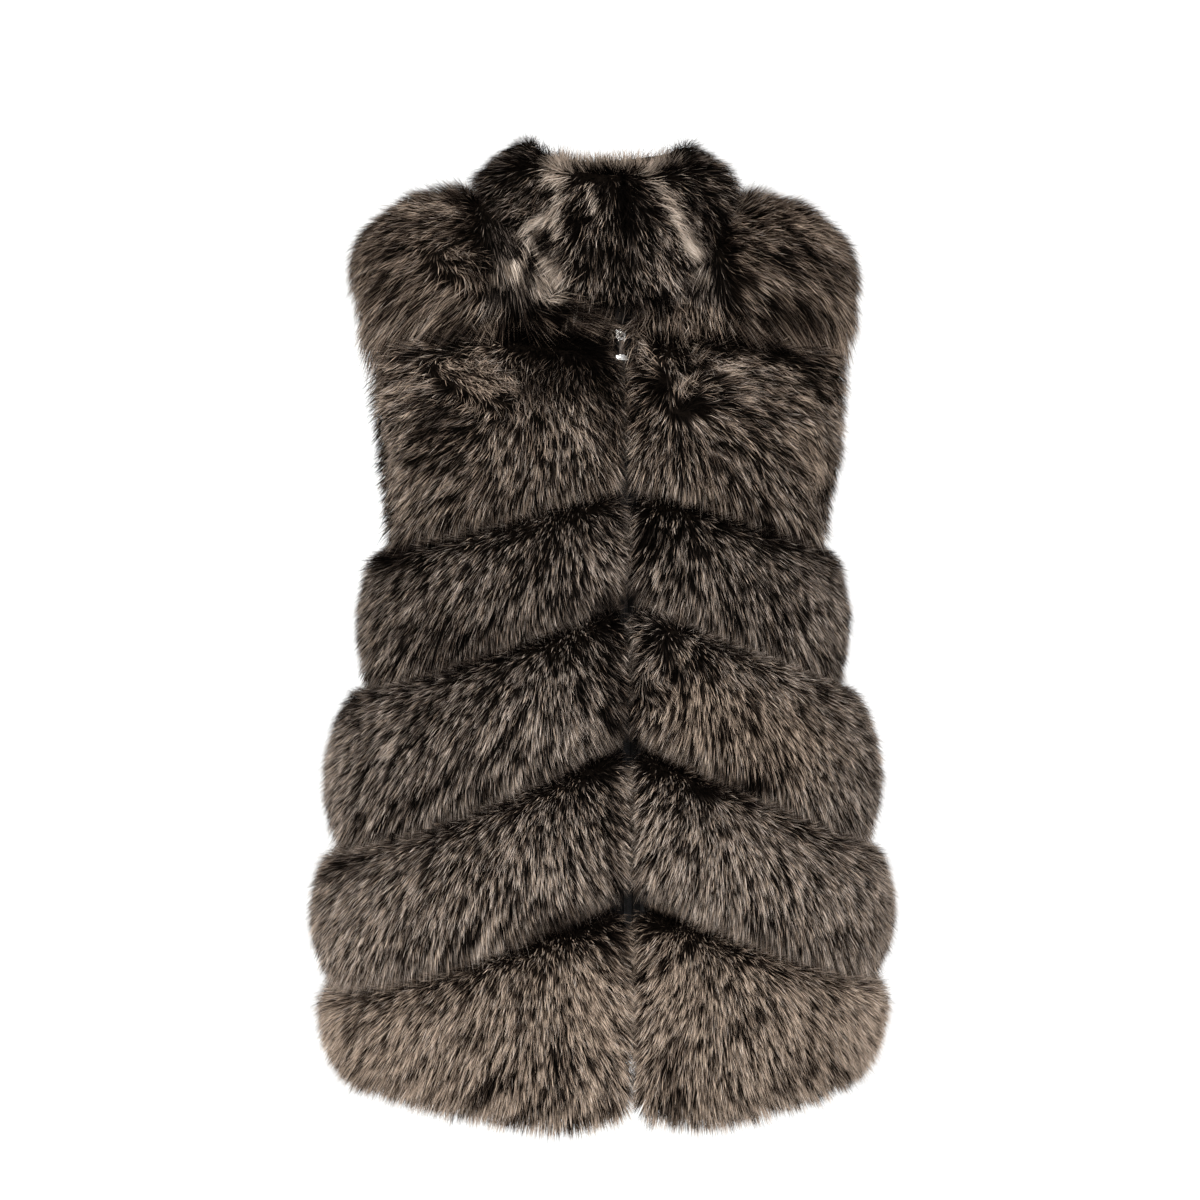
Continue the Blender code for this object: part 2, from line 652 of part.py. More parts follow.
def build_pull(place):
    """Link through the bail, strap and end bar; its origin is on the hinge."""
    link_centre = (RING_WIRE - RING_LENGTH) / 2
    strap_top = RING_WIRE / 2 + RING_GRIP - RING_LENGTH + RING_WIRE
    strap_centre = strap_top - STRAP_LENGTH / 2
    end_centre = strap_top - STRAP_LENGTH - END_LENGTH / 2 + END_GRIP
    body = add_link("zip_pull", link_centre, (RING_WIDTH, RING_LENGTH), RING_WIRE, METAL_LOOK, place)
    strap_size = (STRAP_WIDTH, STRAP_GAUGE, STRAP_LENGTH)
    end_size = (END_WIDTH, END_GAUGE, END_LENGTH)
    strap = add_block("zip_pull_strap", (0.0, 0.0, strap_centre), strap_size, STRAP_CHAMFER,
                      LEATHER_LOOK, place)
    end_bar = add_block("zip_pull_end", (0.0, 0.0, end_centre), end_size, END_CHAMFER,
                        METAL_LOOK, place)
    fuse(body, (("UNION", strap), ("UNION", end_bar)))


def build_zip():
    """Tapes behind the leather's edges, the closed chain, the slider and its pull."""
    inner, outer = zip_band(CHAIN_HALF_WIDTH + SEAM_GAP, TAPE_REACH, TAPE_TOP_Z, TAPE_SINK, TAPE_GAUGE)
    add_wall("zip_tape_left", inner, outer, TAPE_LOOK)
    add_wall("zip_tape_right", mirrored(inner), mirrored(outer), TAPE_LOOK)
    inner, outer = zip_band(-CHAIN_HALF_WIDTH, CHAIN_HALF_WIDTH, CHAIN_TOP_Z, -CHAIN_PROUD, CHAIN_GAUGE)
    add_wall("zip_chain", inner, outer, TAPE_LOOK)

    point, out, upward = centre_frame(SLIDER_Z)
    hinge_out = build_slider((point, out, upward))
    build_pull((point + out * hinge_out, out, upward))


def main():
    for piece in list(bpy.data.objects):
        bpy.data.objects.remove(piece, do_unlink=True)
    build_panels()
    build_collar()
    build_zip()


main()
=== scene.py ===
"""Looks of the long-haired fur vest: hair, leather ground, zip, light and camera.

Metres, +Z up, front towards -Y, the wearer's left towards +X, as in the solids. Every fur strip
is a dark form just inside its solid, with separate hairs that are rooted on it and reach the
solid's outer form. Most hairs are one thin sliver, and the others a bent blade of two triangles.
"""

import json
import math
from collections import namedtuple
from itertools import product

import bpy
import numpy as np
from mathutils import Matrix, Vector


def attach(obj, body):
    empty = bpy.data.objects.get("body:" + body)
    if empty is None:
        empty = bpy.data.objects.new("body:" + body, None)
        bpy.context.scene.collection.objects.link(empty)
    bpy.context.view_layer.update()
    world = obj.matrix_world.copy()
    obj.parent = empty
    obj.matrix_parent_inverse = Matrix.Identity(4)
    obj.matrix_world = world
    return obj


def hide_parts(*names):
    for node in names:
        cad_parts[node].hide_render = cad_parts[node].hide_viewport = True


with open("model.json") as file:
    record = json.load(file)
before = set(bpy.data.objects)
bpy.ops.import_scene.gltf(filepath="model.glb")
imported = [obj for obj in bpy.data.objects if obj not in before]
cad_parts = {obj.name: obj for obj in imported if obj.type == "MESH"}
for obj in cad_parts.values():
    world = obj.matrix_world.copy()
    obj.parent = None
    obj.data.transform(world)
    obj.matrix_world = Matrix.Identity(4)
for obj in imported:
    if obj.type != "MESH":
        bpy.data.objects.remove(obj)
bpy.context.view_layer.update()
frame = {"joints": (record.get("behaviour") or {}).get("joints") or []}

# ------------------------------------------------------------------ sizes, as in the solids
SEAM_GAP = 0.0003
LEATHER = 0.0015
NECK_HALF_WIDTH = 0.075
NECK_DROP_FRONT = 0.075
NECK_DROP_BACK = 0.015
NECK_ROUNDNESS_FRONT = 2.6
NECK_ROUNDNESS_BACK = 1.6
SHOULDER_TIP_Z = -0.034
HEM_Z = -0.722
UNDERARM_Z = -0.280
ZIP_HALF_OPENING = 0.010
SLOPE_STEP = 0.0005           # up and down, to find how steep the torso is
NECK_COLUMNS = 5
SHOULDER_COLUMNS = 5

FIGURE_COLUMNS = ("z", "half_width", "front", "behind")
FIGURE = (
    (HEM_Z, 0.192, 0.146, 0.136),
    (-0.580, 0.195, 0.140, 0.132),
    (-0.475, 0.184, 0.131, 0.120),
    (-0.400, 0.170, 0.124, 0.108),
    (-0.330, 0.157, 0.120, 0.103),
    (UNDERARM_Z, 0.157, 0.120, 0.106),
    (-0.210, 0.180, 0.116, 0.109),
    (-0.160, 0.197, 0.108, 0.107),
    (-0.110, 0.205, 0.097, 0.099),
    (-0.080, 0.206, 0.088, 0.090),
    (-0.050, 0.200, 0.075, 0.078),
    (SHOULDER_TIP_Z, 0.182, 0.068, 0.071),
    (-0.015, 0.123, 0.060, 0.060),
    (0.000, NECK_HALF_WIDTH, 0.052, 0.046),
)
ARMHOLE_COLUMNS = ("z", "degrees")
ARMHOLE = (
    (UNDERARM_Z, 90.0),
    (-0.268, 70.0),
    (-0.250, 61.0),
    (-0.210, 53.0),
    (-0.160, 49.0),
    (-0.110, 49.0),
    (-0.080, 53.0),
    (-0.050, 64.0),
    (SHOULDER_TIP_Z, 90.0),
)
Strip = namedtuple("Strip", "upper_centre upper_side lower_centre lower_side fur")
STRIPS = (
    Strip(None, None, -0.108, -0.106, 0.040),
    Strip(-0.118, -0.110, -0.222, -0.268, 0.046),
    Strip(-0.240, UNDERARM_Z, -0.311, -0.399, 0.054),
    Strip(-0.331, -0.405, -0.425, -0.532, 0.057),
    Strip(-0.447, -0.538, -0.549, -0.646, 0.057),
    Strip(-0.571, -0.652, HEM_Z, -0.692, 0.051),
)
YOKE = 0
CHEST = 1
HEM = len(STRIPS) - 1
ARM_STRIPS = 2
SECTION = ((0.00, 0.46), (0.12, 0.82), (0.36, 0.99), (0.62, 1.00), (0.87, 0.80), (1.00, 0.40))
YOKE_SECTION = ((0.00, 1.00), (0.04, 1.00), (0.15, 1.00), (0.38, 1.00), (0.72, 0.96), (1.00, 0.44))
HEM_SECTION = ((0.00, 0.44), (0.12, 0.80), (0.36, 0.97), (0.62, 1.00), (0.87, 0.96), (1.00, 0.84))
NECK_RAMP = 0.058
NECK_RAMP_WEIGHTS = (1.0, 1.0, 0.6)
NECK_RAMP_START = 0.003
ZIP_EDGE_HEIGHTS = (0.62, 0.92)
ZIP_OVERHANG = 0.0085
OVERHANG_STARTS = 0.25
OVERHANG_FULL = 0.55
PULL_CLEARANCE_Z = (-0.145, -0.080)
ARM_OVERHANG_INNER = 0.026
ARM_OVERHANG_OUTER = 0.047
ARM_EDGE_PUSH = 0.026
ARM_DROOP = 0.8
ARM_EDGE_HEIGHT = 0.90
ARM_TIP_HEIGHT = 0.45
HEM_OVERHANG_INNER = 0.030
HEM_OVERHANG_OUTER = 0.042
HEM_EDGE_PUSH = 0.012
HEM_TIP_HEIGHT = 0.42
HEM_CORNER = (0.22, 0.78)

COLLAR_COLUMNS = ("degrees", "leather_top", "lean", "under", "low", "reach", "fall")
COLLAR = (
    (0.0, 0.012, 0.000, -0.076, -0.088, 0.048, 0.010),
    (21.0, 0.016, -0.001, -0.068, -0.077, 0.048, 0.010),
    (36.0, 0.024, -0.004, -0.032, -0.042, 0.048, 0.014),
    (50.0, 0.034, -0.007, -0.006, -0.005, 0.046, 0.022),
    (69.0, 0.044, -0.010, 0.009, 0.014, 0.045, 0.028),
    (90.0, 0.048, -0.012, 0.013, 0.021, 0.044, 0.030),
    (109.0, 0.050, -0.010, 0.010, 0.016, 0.044, 0.028),
    (124.0, 0.049, -0.007, 0.000, -0.002, 0.045, 0.024),
    (140.0, 0.048, -0.004, -0.009, -0.018, 0.046, 0.018),
    (158.0, 0.046, -0.002, -0.018, -0.028, 0.047, 0.014),
    (180.0, 0.044, 0.000, -0.021, -0.032, 0.048, 0.012),
)
COLLAR_SECTION = (
    (0.10, 1.0, "crest", 0.10),
    (0.48, 1.0, "crest", 0.45),
    (0.86, 0.8, "crest", 1.0),
    (1.00, 0.5, "middle", 0.0),
    (0.88, 0.0, "low", 0.0),
    (0.45, 0.0, "under", 0.0),
)
COLLAR_RISE = 0.022
COLLAR_TUCK = 0.002
COLLAR_SEAM = 0.0004
COLLAR_FRONT_GAP = 0.0015
COLLAR_FOOT = 0.008
COLLAR_PARTING = 3
PARTING_PINCH = 0.55

TAPE_REACH = 0.016
TAPE_GAUGE = 0.0010
TAPE_SINK = 0.0007
CHAIN_HALF_WIDTH = 0.0029
CHAIN_PROUD = 0.0008
TAPE_TOP_Z = -0.080
CHAIN_TOP_Z = -0.1060
ZIP_BOTTOM_Z = -0.700
SLIDER_Z = -0.1080

# ------------------------------------------------------------------ sizes of the looks
FORM_SHARE = 0.80             # the dark form's share of the solid's height, under the hairs
FORM_INSET = 0.0045           # how far the dark form stays inside the solid at its rims
FORM_STEPS = 4                # cells of a form between two neighbouring points of the solid
ROOT_STEPS = 8                # cells of the grid that hairs are rooted on
UV_SLIVER = 0.0045            # width of a hair on its palette
GRAVITY = np.array([0.0, 0.0, -1.0])

FLOOR_Z = -1.42
FRAME = 1200                  # pixels across the photograph
CAMERA_DISTANCE = 2.4
CAMERA_YAW = 8.0              # degrees to the wearer's right
CAMERA_Z = -0.327
CAMERA_AIM = 0.082            # degrees; the middle of the torso lies just right of the frame's middle
CAMERA_LENS = 83.73           # mm
CAMERA_SENSOR = 36.0          # mm

# Kinds of hair in the palette: grey-beige body hair, browner shoulder hair, pale underfur.
KINDS = 3
GREY, BROWN, PALE = range(KINDS)

# ------------------------------------------------------------------ the torso and its panels
def column(table, names, name):
    """One named column of a table, as an array."""
    place = names.index(name)
    return np.array([row[place] for row in table], float)


def smooth(xs, ys, x):
    """Smooth curve through the points (xs, ys) that never overshoots them; xs rise."""
    step = np.diff(xs)
    rise = np.diff(ys) / step
    slope = np.zeros(len(xs))
    slope[0], slope[-1] = rise[0], rise[-1]
    agreed = rise[:-1] * rise[1:]
    total = np.where(agreed > 0, rise[:-1] + rise[1:], 1.0)
    slope[1:-1] = np.where(agreed > 0, 2.0 * agreed / total, 0.0)
    x = np.clip(x, xs[0], xs[-1])
    place = np.clip(np.searchsorted(xs, x) - 1, 0, len(xs) - 2)
    t = (x - xs[place]) / step[place]
    return ((1 + 2 * t) * (1 - t) ** 2 * ys[place] + t * (1 - t) ** 2 * step[place] * slope[place]
            + t * t * (3 - 2 * t) * ys[place + 1] - t * t * (1 - t) * step[place] * slope[place + 1])


def smoothstep(low, high, x):
    """0 up to `low`, 1 from `high` on, and a smooth rise between them."""
    t = np.clip((x - low) / (high - low), 0.0, 1.0)
    return t * t * (3 - 2 * t)


def figure(name, z):
    """The figure's half width, or its depth in front or behind, at these heights."""
    return smooth(column(FIGURE, FIGURE_COLUMNS, "z"), column(FIGURE, FIGURE_COLUMNS, name), z)


def edge_angle(z):
    """Angle at which the leather ends at this height: the armhole, or the side seam below it."""
    heights = column(ARMHOLE, ARMHOLE_COLUMNS, "z")
    angles = column(ARMHOLE, ARMHOLE_COLUMNS, "degrees")
    return np.where(z > UNDERARM_Z, np.radians(smooth(heights, angles, z)), math.pi / 2)


def unit(vectors):
    return vectors / np.maximum(np.linalg.norm(vectors, axis=-1, keepdims=True), 1e-12)


def torso_skin(angle, z, front):
    """Points and outward normals of the torso at angles from the centre front or centre back."""
    facing = -1.0 if front else 1.0
    depth_name = "front" if front else "behind"
    width, depth = figure("half_width", z), figure(depth_name, z)
    step = SLOPE_STEP
    width_slope = (figure("half_width", z + step) - figure("half_width", z - step)) / (2 * step)
    depth_slope = (figure(depth_name, z + step) - figure(depth_name, z - step)) / (2 * step)
    x = width * np.sin(angle)
    y = facing * depth * np.cos(angle)
    steepness = x * x * width_slope / width ** 3 + y * y * depth_slope / depth ** 3
    normals = unit(np.stack([x / width ** 2, y / depth ** 2, -steepness], axis=-1))
    return np.stack([x, y + facing * SEAM_GAP / 2, z], axis=-1), normals


def neckline(front):
    """Places across and heights of the neckline, from the centre to the neck point."""
    drop = NECK_DROP_FRONT if front else NECK_DROP_BACK
    first = math.asin(ZIP_HALF_OPENING / NECK_HALF_WIDTH) if front else 0.0
    turn = np.linspace(first, math.pi / 2, NECK_COLUMNS + 1)
    roundness = NECK_ROUNDNESS_FRONT if front else NECK_ROUNDNESS_BACK
    return NECK_HALF_WIDTH * np.sin(turn), -drop * np.cos(turn) ** roundness


def half_panel(front):
    """Angles and heights of the grid of a half panel, from its centre edge to its outer edge."""
    share = np.linspace(0.0, 1.0, NECK_COLUMNS + SHOULDER_COLUMNS + 1)
    first_x = ZIP_HALF_OPENING if front else 0.0

    def strip_edge(centre, side):
        outer = float(edge_angle(np.array(side)))
        return centre + (side - centre) * np.sin(share * outer) / math.sin(outer)

    def angles_at(z):
        start = np.arcsin(first_x / figure("half_width", z))
        return start + (edge_angle(z[-1]) - start) * share

    neck_x, neck_z = neckline(front)
    seam_z = np.linspace(0.0, SHOULDER_TIP_Z, SHOULDER_COLUMNS + 1)[1:]
    top_x = np.concatenate([neck_x, figure("half_width", seam_z)])
    top_z = np.concatenate([neck_z, seam_z])
    angle_rows, height_rows = [], []
    for number, strip in enumerate(STRIPS):
        lower = strip_edge(strip.lower_centre if front else strip.lower_side, strip.lower_side)
        if number == YOKE:
            lower_x = figure("half_width", lower) * np.sin(angles_at(lower))
            for down, _ in YOKE_SECTION:
                z = top_z + (lower - top_z) * down
                x = top_x + (lower_x - top_x) * down
                angle_rows.append(np.arcsin(np.minimum(x / figure("half_width", z), 1.0)))
                height_rows.append(z)
            continue
        upper = strip_edge(strip.upper_centre if front else strip.upper_side, strip.upper_side)
        for down, _ in SECTION:
            z = upper + (lower - upper) * down
            angle_rows.append(angles_at(z))
            height_rows.append(z)
    return np.array(angle_rows), np.array(height_rows)


def panel_grid(front):
    """Points and normals of a half panel's leather."""
    angles, heights = half_panel(front)
    return torso_skin(angles, heights, front)


def mirrored(grid):
    return grid * np.array([-1.0, 1.0, 1.0])


def whole_back(grid):
    """A grid of the half back with its mirror image, from side to side."""
    return np.concatenate([mirrored(grid)[:, :0:-1], grid], axis=1)


def strip_rows(number):
    """The rows of a half panel's grid that a strip lies on."""
    size = len(SECTION)
    return slice(number * size, (number + 1) * size)


def neck_ramp(points, neck_points):
    """Share of its height that the yoke's fur has at each point near the neckline."""
    ways = (points[:, :, None, :] - neck_points[None, None, :, :]) * np.array(NECK_RAMP_WEIGHTS)
    gaps = np.linalg.norm(ways, axis=-1)
    return smoothstep(0.0, NECK_RAMP, gaps.min(axis=-1))


def fur_strip(points, normals, number, front):
    """Inner and outer grid of a half strip at +X, from its centre edge to its outer edge."""
    height = STRIPS[number].fur
    section = {YOKE: YOKE_SECTION, HEM: HEM_SECTION}.get(number, SECTION)
    p, n = points[strip_rows(number)], normals[strip_rows(number)]
    along = unit(np.gradient(p, axis=1))
    down = unit(np.gradient(p, axis=0))
    rise = height * np.array([share for _, share in section])[:, None] * np.ones(p.shape[1])
    push_along = np.zeros(p.shape[:2])
    push_down = np.zeros(p.shape[:2])
    if number == YOKE:
        ramp = neck_ramp(p, p[0, :NECK_COLUMNS + 1])
        rise = NECK_RAMP_START + (rise - NECK_RAMP_START) * ramp
    if front:
        rise[:, 0] *= ZIP_EDGE_HEIGHTS[0]
        rise[:, 1] *= ZIP_EDGE_HEIGHTS[1]
        low, high = PULL_CLEARANCE_Z
        clear = (p[:, 0, 2] > low) & (p[:, 0, 2] < high)
        fullness = (rise[:, 0] / height - OVERHANG_STARTS) / (OVERHANG_FULL - OVERHANG_STARTS)
        push_along[:, 0] = np.where(clear, 0.0, -ZIP_OVERHANG * np.clip(fullness, 0.0, 1.0))
    at_arm = number < ARM_STRIPS
    if at_arm:
        rise[:, -1] *= ARM_EDGE_HEIGHT
        if number == YOKE:
            along[:, -1, 2] -= ARM_DROOP * (1.0 - np.array([share for share, _ in section]))
            along = unit(along)
        push_along[:, -1] = ARM_EDGE_PUSH
    if number == HEM:
        push_down[-1] = HEM_EDGE_PUSH

    base = p + n * (LEATHER + SEAM_GAP)
    outer = base + n * rise[..., None] + along * push_along[..., None] + down * push_down[..., None]
    inner = base.copy()
    if at_arm:
        edge, way, normal = base[:, -1:], along[:, -1:], n[:, -1:]
        inner = np.concatenate([inner, edge + way * ARM_OVERHANG_INNER], axis=1)
        tip_rise = (rise[:, -1:] * ARM_TIP_HEIGHT)[..., None]
        outer = np.concatenate([outer, edge + way * ARM_OVERHANG_OUTER + normal * tip_rise], axis=1)
    if number == HEM:
        share = np.ones(p.shape[1])
        if front:
            share[:len(HEM_CORNER)] = HEM_CORNER
        edge, way = base[-1:], down[-1:] * share[None, :, None]
        tip_rise = (rise[-1:] * HEM_TIP_HEIGHT)[..., None]
        inner = np.concatenate([inner, edge + way * HEM_OVERHANG_INNER], axis=0)
        outer = np.concatenate([outer, edge + way * HEM_OVERHANG_OUTER + n[-1:] * tip_rise], axis=0)
    return inner, outer


# ------------------------------------------------------------------ the collar's sections
def collar_sections():
    """Leather faces and fur sections of the collar at +X, from the centre front to the back."""
    front, _ = panel_grid(front=True)
    back, _ = panel_grid(front=False)
    start = front[0, 0] * np.array([0.0, 1.0, 1.0]) + np.array([COLLAR_FRONT_GAP, 0.0, 0.0])
    neck_point = (front[0, NECK_COLUMNS] + back[0, NECK_COLUMNS])[None] / 2
    curve = np.concatenate([start[None], front[0, :NECK_COLUMNS], neck_point,
                            back[0, NECK_COLUMNS - 1::-1]])
    angles = np.degrees(np.arctan2(curve[:, 0], -curve[:, 1]))
    angles[0] = 0.0
    way = unit(np.gradient(curve * np.array([1.0, 1.0, 0.0]), axis=0))
    way[0] = (1.0, 0.0, 0.0)
    way[-1] = (-1.0, 0.0, 0.0)
    out = np.stack([way[:, 1], -way[:, 0], np.zeros(len(way))], axis=-1)

    degrees = column(COLLAR, COLLAR_COLUMNS, "degrees")
    values = {name: smooth(degrees, column(COLLAR, COLLAR_COLUMNS, name), angles)
              for name in COLLAR_COLUMNS[1:]}
    top, lean, reach = values["leather_top"], values["lean"], values["reach"]
    low = curve[:, 2] - COLLAR_TUCK
    foot_share = (COLLAR_TUCK + COLLAR_FOOT) / (top - low)

    def place_at(distance, z):
        points = curve + out * distance[:, None]
        points[:, 2] = z
        return points

    def stand_row(share, inset=0.0):
        return place_at(lean * share - inset, low + (top - low) * share)

    def stand_face(inset):
        return np.array([stand_row(share, inset) for share in (0.0, foot_share, 1.0)])

    reach[COLLAR_PARTING] *= PARTING_PINCH
    crest = top + COLLAR_RISE
    levels = {"under": values["under"], "low": values["low"], "crest": crest,
              "middle": (values["low"] + crest - values["fall"]) / 2}
    outline = [stand_row(1.0)]
    for out_share, lean_share, level, fall_share in COLLAR_SECTION:
        outline.append(place_at(reach * out_share + lean * lean_share,
                                levels[level] - values["fall"] * fall_share))
    outline.append(stand_row(foot_share))
    faces = stand_face(COLLAR_SEAM + LEATHER), stand_face(COLLAR_SEAM)
    return faces, np.stack(outline, axis=0)


# ------------------------------------------------------------------ curves and noise
def spline_weights(count, places):
    """Weights that draw a smooth curve through `count` points, at these places along it."""
    first = np.clip(places.astype(int), 0, count - 2)
    t = places - first
    weights = np.zeros((len(places), count + 2))
    curve = (-t / 2 + t ** 2 - t ** 3 / 2, 1 - 2.5 * t ** 2 + 1.5 * t ** 3,
             t / 2 + 2 * t ** 2 - 1.5 * t ** 3, -t ** 2 / 2 + t ** 3 / 2)
    rows = np.arange(len(places))
    for offset, weight in enumerate(curve):
        weights[rows, first + offset] = weight
    weights[:, 1] += 2 * weights[:, 0]
    weights[:, 2] -= weights[:, 0]
    weights[:, -2] += 2 * weights[:, -1]
    weights[:, -3] -= weights[:, -1]
    return weights[:, 1:-1]


def drawn(grid, row_places, column_places):
    """The smooth surface through a grid's points, at these places of its rows and columns."""
    down = spline_weights(grid.shape[0], row_places)
    across = spline_weights(grid.shape[1], column_places)
    return np.einsum("ri,sj,ijk->rsk", down, across, grid, optimize=True)


def refined(grid, steps):
    """A smooth grid through the points of a coarse one."""
    rows, columns = grid.shape[:2]
    return drawn(grid, np.linspace(0.0, rows - 1, (rows - 1) * steps + 1),
                 np.linspace(0.0, columns - 1, (columns - 1) * steps + 1))


def inset_places(steps, first, last):
    """Places of the points along a line of these steps, drawn in by metres at its two ends."""
    length = np.concatenate([[0.0], np.cumsum(steps)])
    kept = first + length * (length[-1] - first - last) / length[-1]
    return np.interp(kept, length, np.arange(len(length)))


def lattice(cells, seed):
    """A number from 0 to 1 for each whole-number cell."""
    mask = np.uint64(0xFFFFFFFF)
    x, y, z = (cells[..., axis].astype(np.int64).astype(np.uint64) & mask for axis in range(3))
    h = (x * np.uint64(73856093) ^ y * np.uint64(19349663) ^ z * np.uint64(83492791)
         ^ np.uint64(seed * 2654435761 & 0xFFFFFFFF)) & mask
    for shift, factor in ((16, 0x7FEB352D), (15, 0x846CA68B)):
        h ^= h >> np.uint64(shift)
        h = h * np.uint64(factor) & mask
    h ^= h >> np.uint64(16)
    return h.astype(float) / 0xFFFFFFFF


def noise(points, size, seed):
    """Smooth noise from -1 to 1 with features of this size, one size or one for each axis."""
    q = points / np.asarray(size)
    cells = np.floor(q).astype(np.int64)
    f = q - cells
    f = f * f * (3 - 2 * f)
    total = np.zeros(len(points))
    for corner in product((0, 1), repeat=3):
        weight = np.ones(len(points))
        for axis, step in enumerate(corner):
            weight *= f[:, axis] if step else 1 - f[:, axis]
        total += weight * lattice(cells + np.array(corner), seed)
    return total * 2 - 1


# ------------------------------------------------------------------ meshes
def add_mesh(name, vertices, faces, uvs=None):
    """A smooth-shaded mesh object from arrays of points and triangles."""
    mesh = bpy.data.meshes.new(name)
    mesh.vertices.add(len(vertices))
    mesh.vertices.foreach_set("co", np.ascontiguousarray(vertices, np.float32).ravel())
    mesh.loops.add(faces.size)
    mesh.loops.foreach_set("vertex_index", faces.ravel().astype(np.int32))
    mesh.polygons.add(len(faces))
    size = faces.shape[1]
    mesh.polygons.foreach_set("loop_start", np.arange(0, faces.size, size, dtype=np.int32))
    mesh.polygons.foreach_set("use_smooth", np.ones(len(faces), bool))
    if uvs is not None:
        layer = mesh.uv_layers.new(name="OFBake")
        layer.data.foreach_set("uv", uvs[faces.ravel()].astype(np.float32).ravel())
    mesh.update(calc_edges=True)
    piece = bpy.data.objects.new(name, mesh)
    bpy.context.collection.objects.link(piece)
    return piece


def grid_faces(rows, columns, start=0, flip=False):
    """Triangles of a grid of vertices."""
    a = start + (np.arange(rows - 1)[:, None] * columns + np.arange(columns - 1)[None, :]).ravel()
    cells = quads(a, a + 1, a + columns + 1, a + columns)
    return cells[:, ::-1] if flip else cells


def facing_out(vertices, faces):
    """A closed solid's points, and its triangles turned so that they face outwards."""
    corners = vertices[faces]
    volume = np.einsum("ij,ij->i", corners[:, 0], np.cross(corners[:, 1], corners[:, 2])).sum()
    return vertices, faces if volume > 0 else faces[:, ::-1]


def quads(a, b, c, d):
    """Triangles of the four-sided cells with these corners."""
    return np.concatenate([np.stack([a, b, c], axis=-1).reshape(-1, 3),
                           np.stack([a, c, d], axis=-1).reshape(-1, 3)])


def wall_mesh(inner, outer):
    """Points and triangles of a closed wall between two grids of the same shape."""
    rows, columns = inner.shape[:2]
    count = rows * columns
    vertices = np.concatenate([inner.reshape(-1, 3), outer.reshape(-1, 3)])
    edge = np.concatenate([np.arange(columns),
                           np.arange(2, rows + 1) * columns - 1,
                           np.arange(count - 2, count - columns - 1, -1),
                           np.arange(rows - 2, 0, -1) * columns])
    after = np.roll(edge, -1)
    rim = quads(edge, after, after + count, edge + count)
    faces = np.concatenate([grid_faces(rows, columns, 0, True),
                            grid_faces(rows, columns, count), rim])
    return facing_out(vertices, faces)


def add_wall(name, inner, outer):
    return add_mesh(name, *wall_mesh(inner, outer))


# ------------------------------------------------------------------ materials
class Nodes:
    """A material's node tree, built by short calls."""

    def __init__(self, name):
        self.material = bpy.data.materials.new(name)
        self.material.use_nodes = True
        self.tree = self.material.node_tree
        self.shader = self.tree.nodes["Principled BSDF"]

    def add(self, kind, **values):
        """A node with attributes set by name and inputs by number (i0=..., i1=...)."""
        node = self.tree.nodes.new(kind)
        for key, value in values.items():
            if key[0] == "i" and key[1:].isdigit():
                self.feed(value, node.inputs[int(key[1:])])
            else:
                setattr(node, key, value)
        return node

    def feed(self, value, socket):
        if isinstance(value, bpy.types.NodeSocket):
            self.tree.links.new(value, socket)
        else:
            socket.default_value = value

    def math(self, operation, first, second=0.0):
        return self.add("ShaderNodeMath", operation=operation, i0=first, i1=second).outputs[0]

    def ramp(self, factor, stops):
        """Colour ramp; stops are (place, grey number or colour)."""
        node = self.add("ShaderNodeValToRGB", i0=factor)
        elements = node.color_ramp.elements
        while len(elements) < len(stops):
            elements.new(0.5)
        for element, (place, colour) in zip(elements, stops):
            element.position = place
            element.color = (*((colour,) * 3 if isinstance(colour, float) else colour), 1.0)
        return node.outputs[0]

    def mix(self, factor, first, second):
        node = self.add("ShaderNodeMix", data_type="RGBA")
        self.feed(factor, node.inputs[0])
        self.feed(first, node.inputs[6])
        self.feed(second, node.inputs[7])
        return node.outputs[2]

    def between(self, factor, low, dark, high, pale):
        """A colour from dark to pale as the factor goes from low to high."""
        return self.ramp(factor, ((low, dark), (high, pale)))

    def object_place(self):
        return self.add("ShaderNodeTexCoord").outputs["Object"]

    def stretched(self, vector, scale):
        node = self.add("ShaderNodeMapping", i0=vector)
        node.inputs["Scale"].default_value = scale
        return node.outputs[0]

    def noise(self, vector, scale, detail=2.0):
        node = self.add("ShaderNodeTexNoise", i0=vector)
        node.inputs["Scale"].default_value = scale
        node.inputs["Detail"].default_value = detail
        return node.outputs[0]

    def bump(self, height, strength, distance):
        node = self.add("ShaderNodeBump")
        node.inputs["Strength"].default_value = strength
        node.inputs["Distance"].default_value = distance
        self.feed(height, node.inputs["Height"])
        self.feed(node.outputs[0], self.shader.inputs["Normal"])

    def surface(self, colour=None, **values):
        if colour is not None:
            self.feed(colour, self.shader.inputs["Base Color"])
        for name, value in values.items():
            self.shader.inputs[name.replace("_", " ")].default_value = value
        return self.material


# Albedo of each kind of hair from darkest to lightest tone.
HAIR_TONES = {
    GREY: ((0.0, (0.0008, 0.0007, 0.0006)), (0.28, (0.008, 0.0063, 0.0054)), (0.52, (0.072, 0.056, 0.046)),
           (0.78, (0.350, 0.284, 0.236)), (1.0, (0.760, 0.655, 0.570))),
    BROWN: ((0.0, (0.0008, 0.0006, 0.0005)), (0.28, (0.008, 0.0058, 0.0045)), (0.52, (0.072, 0.051, 0.038)),
            (0.78, (0.335, 0.250, 0.188)), (1.0, (0.690, 0.555, 0.440))),
    PALE: ((0.0, (0.006, 0.0045, 0.0035)), (0.30, (0.060, 0.045, 0.034)), (0.55, (0.200, 0.154, 0.118)),
           (0.78, (0.420, 0.340, 0.275)), (1.0, (0.640, 0.550, 0.470))),
}
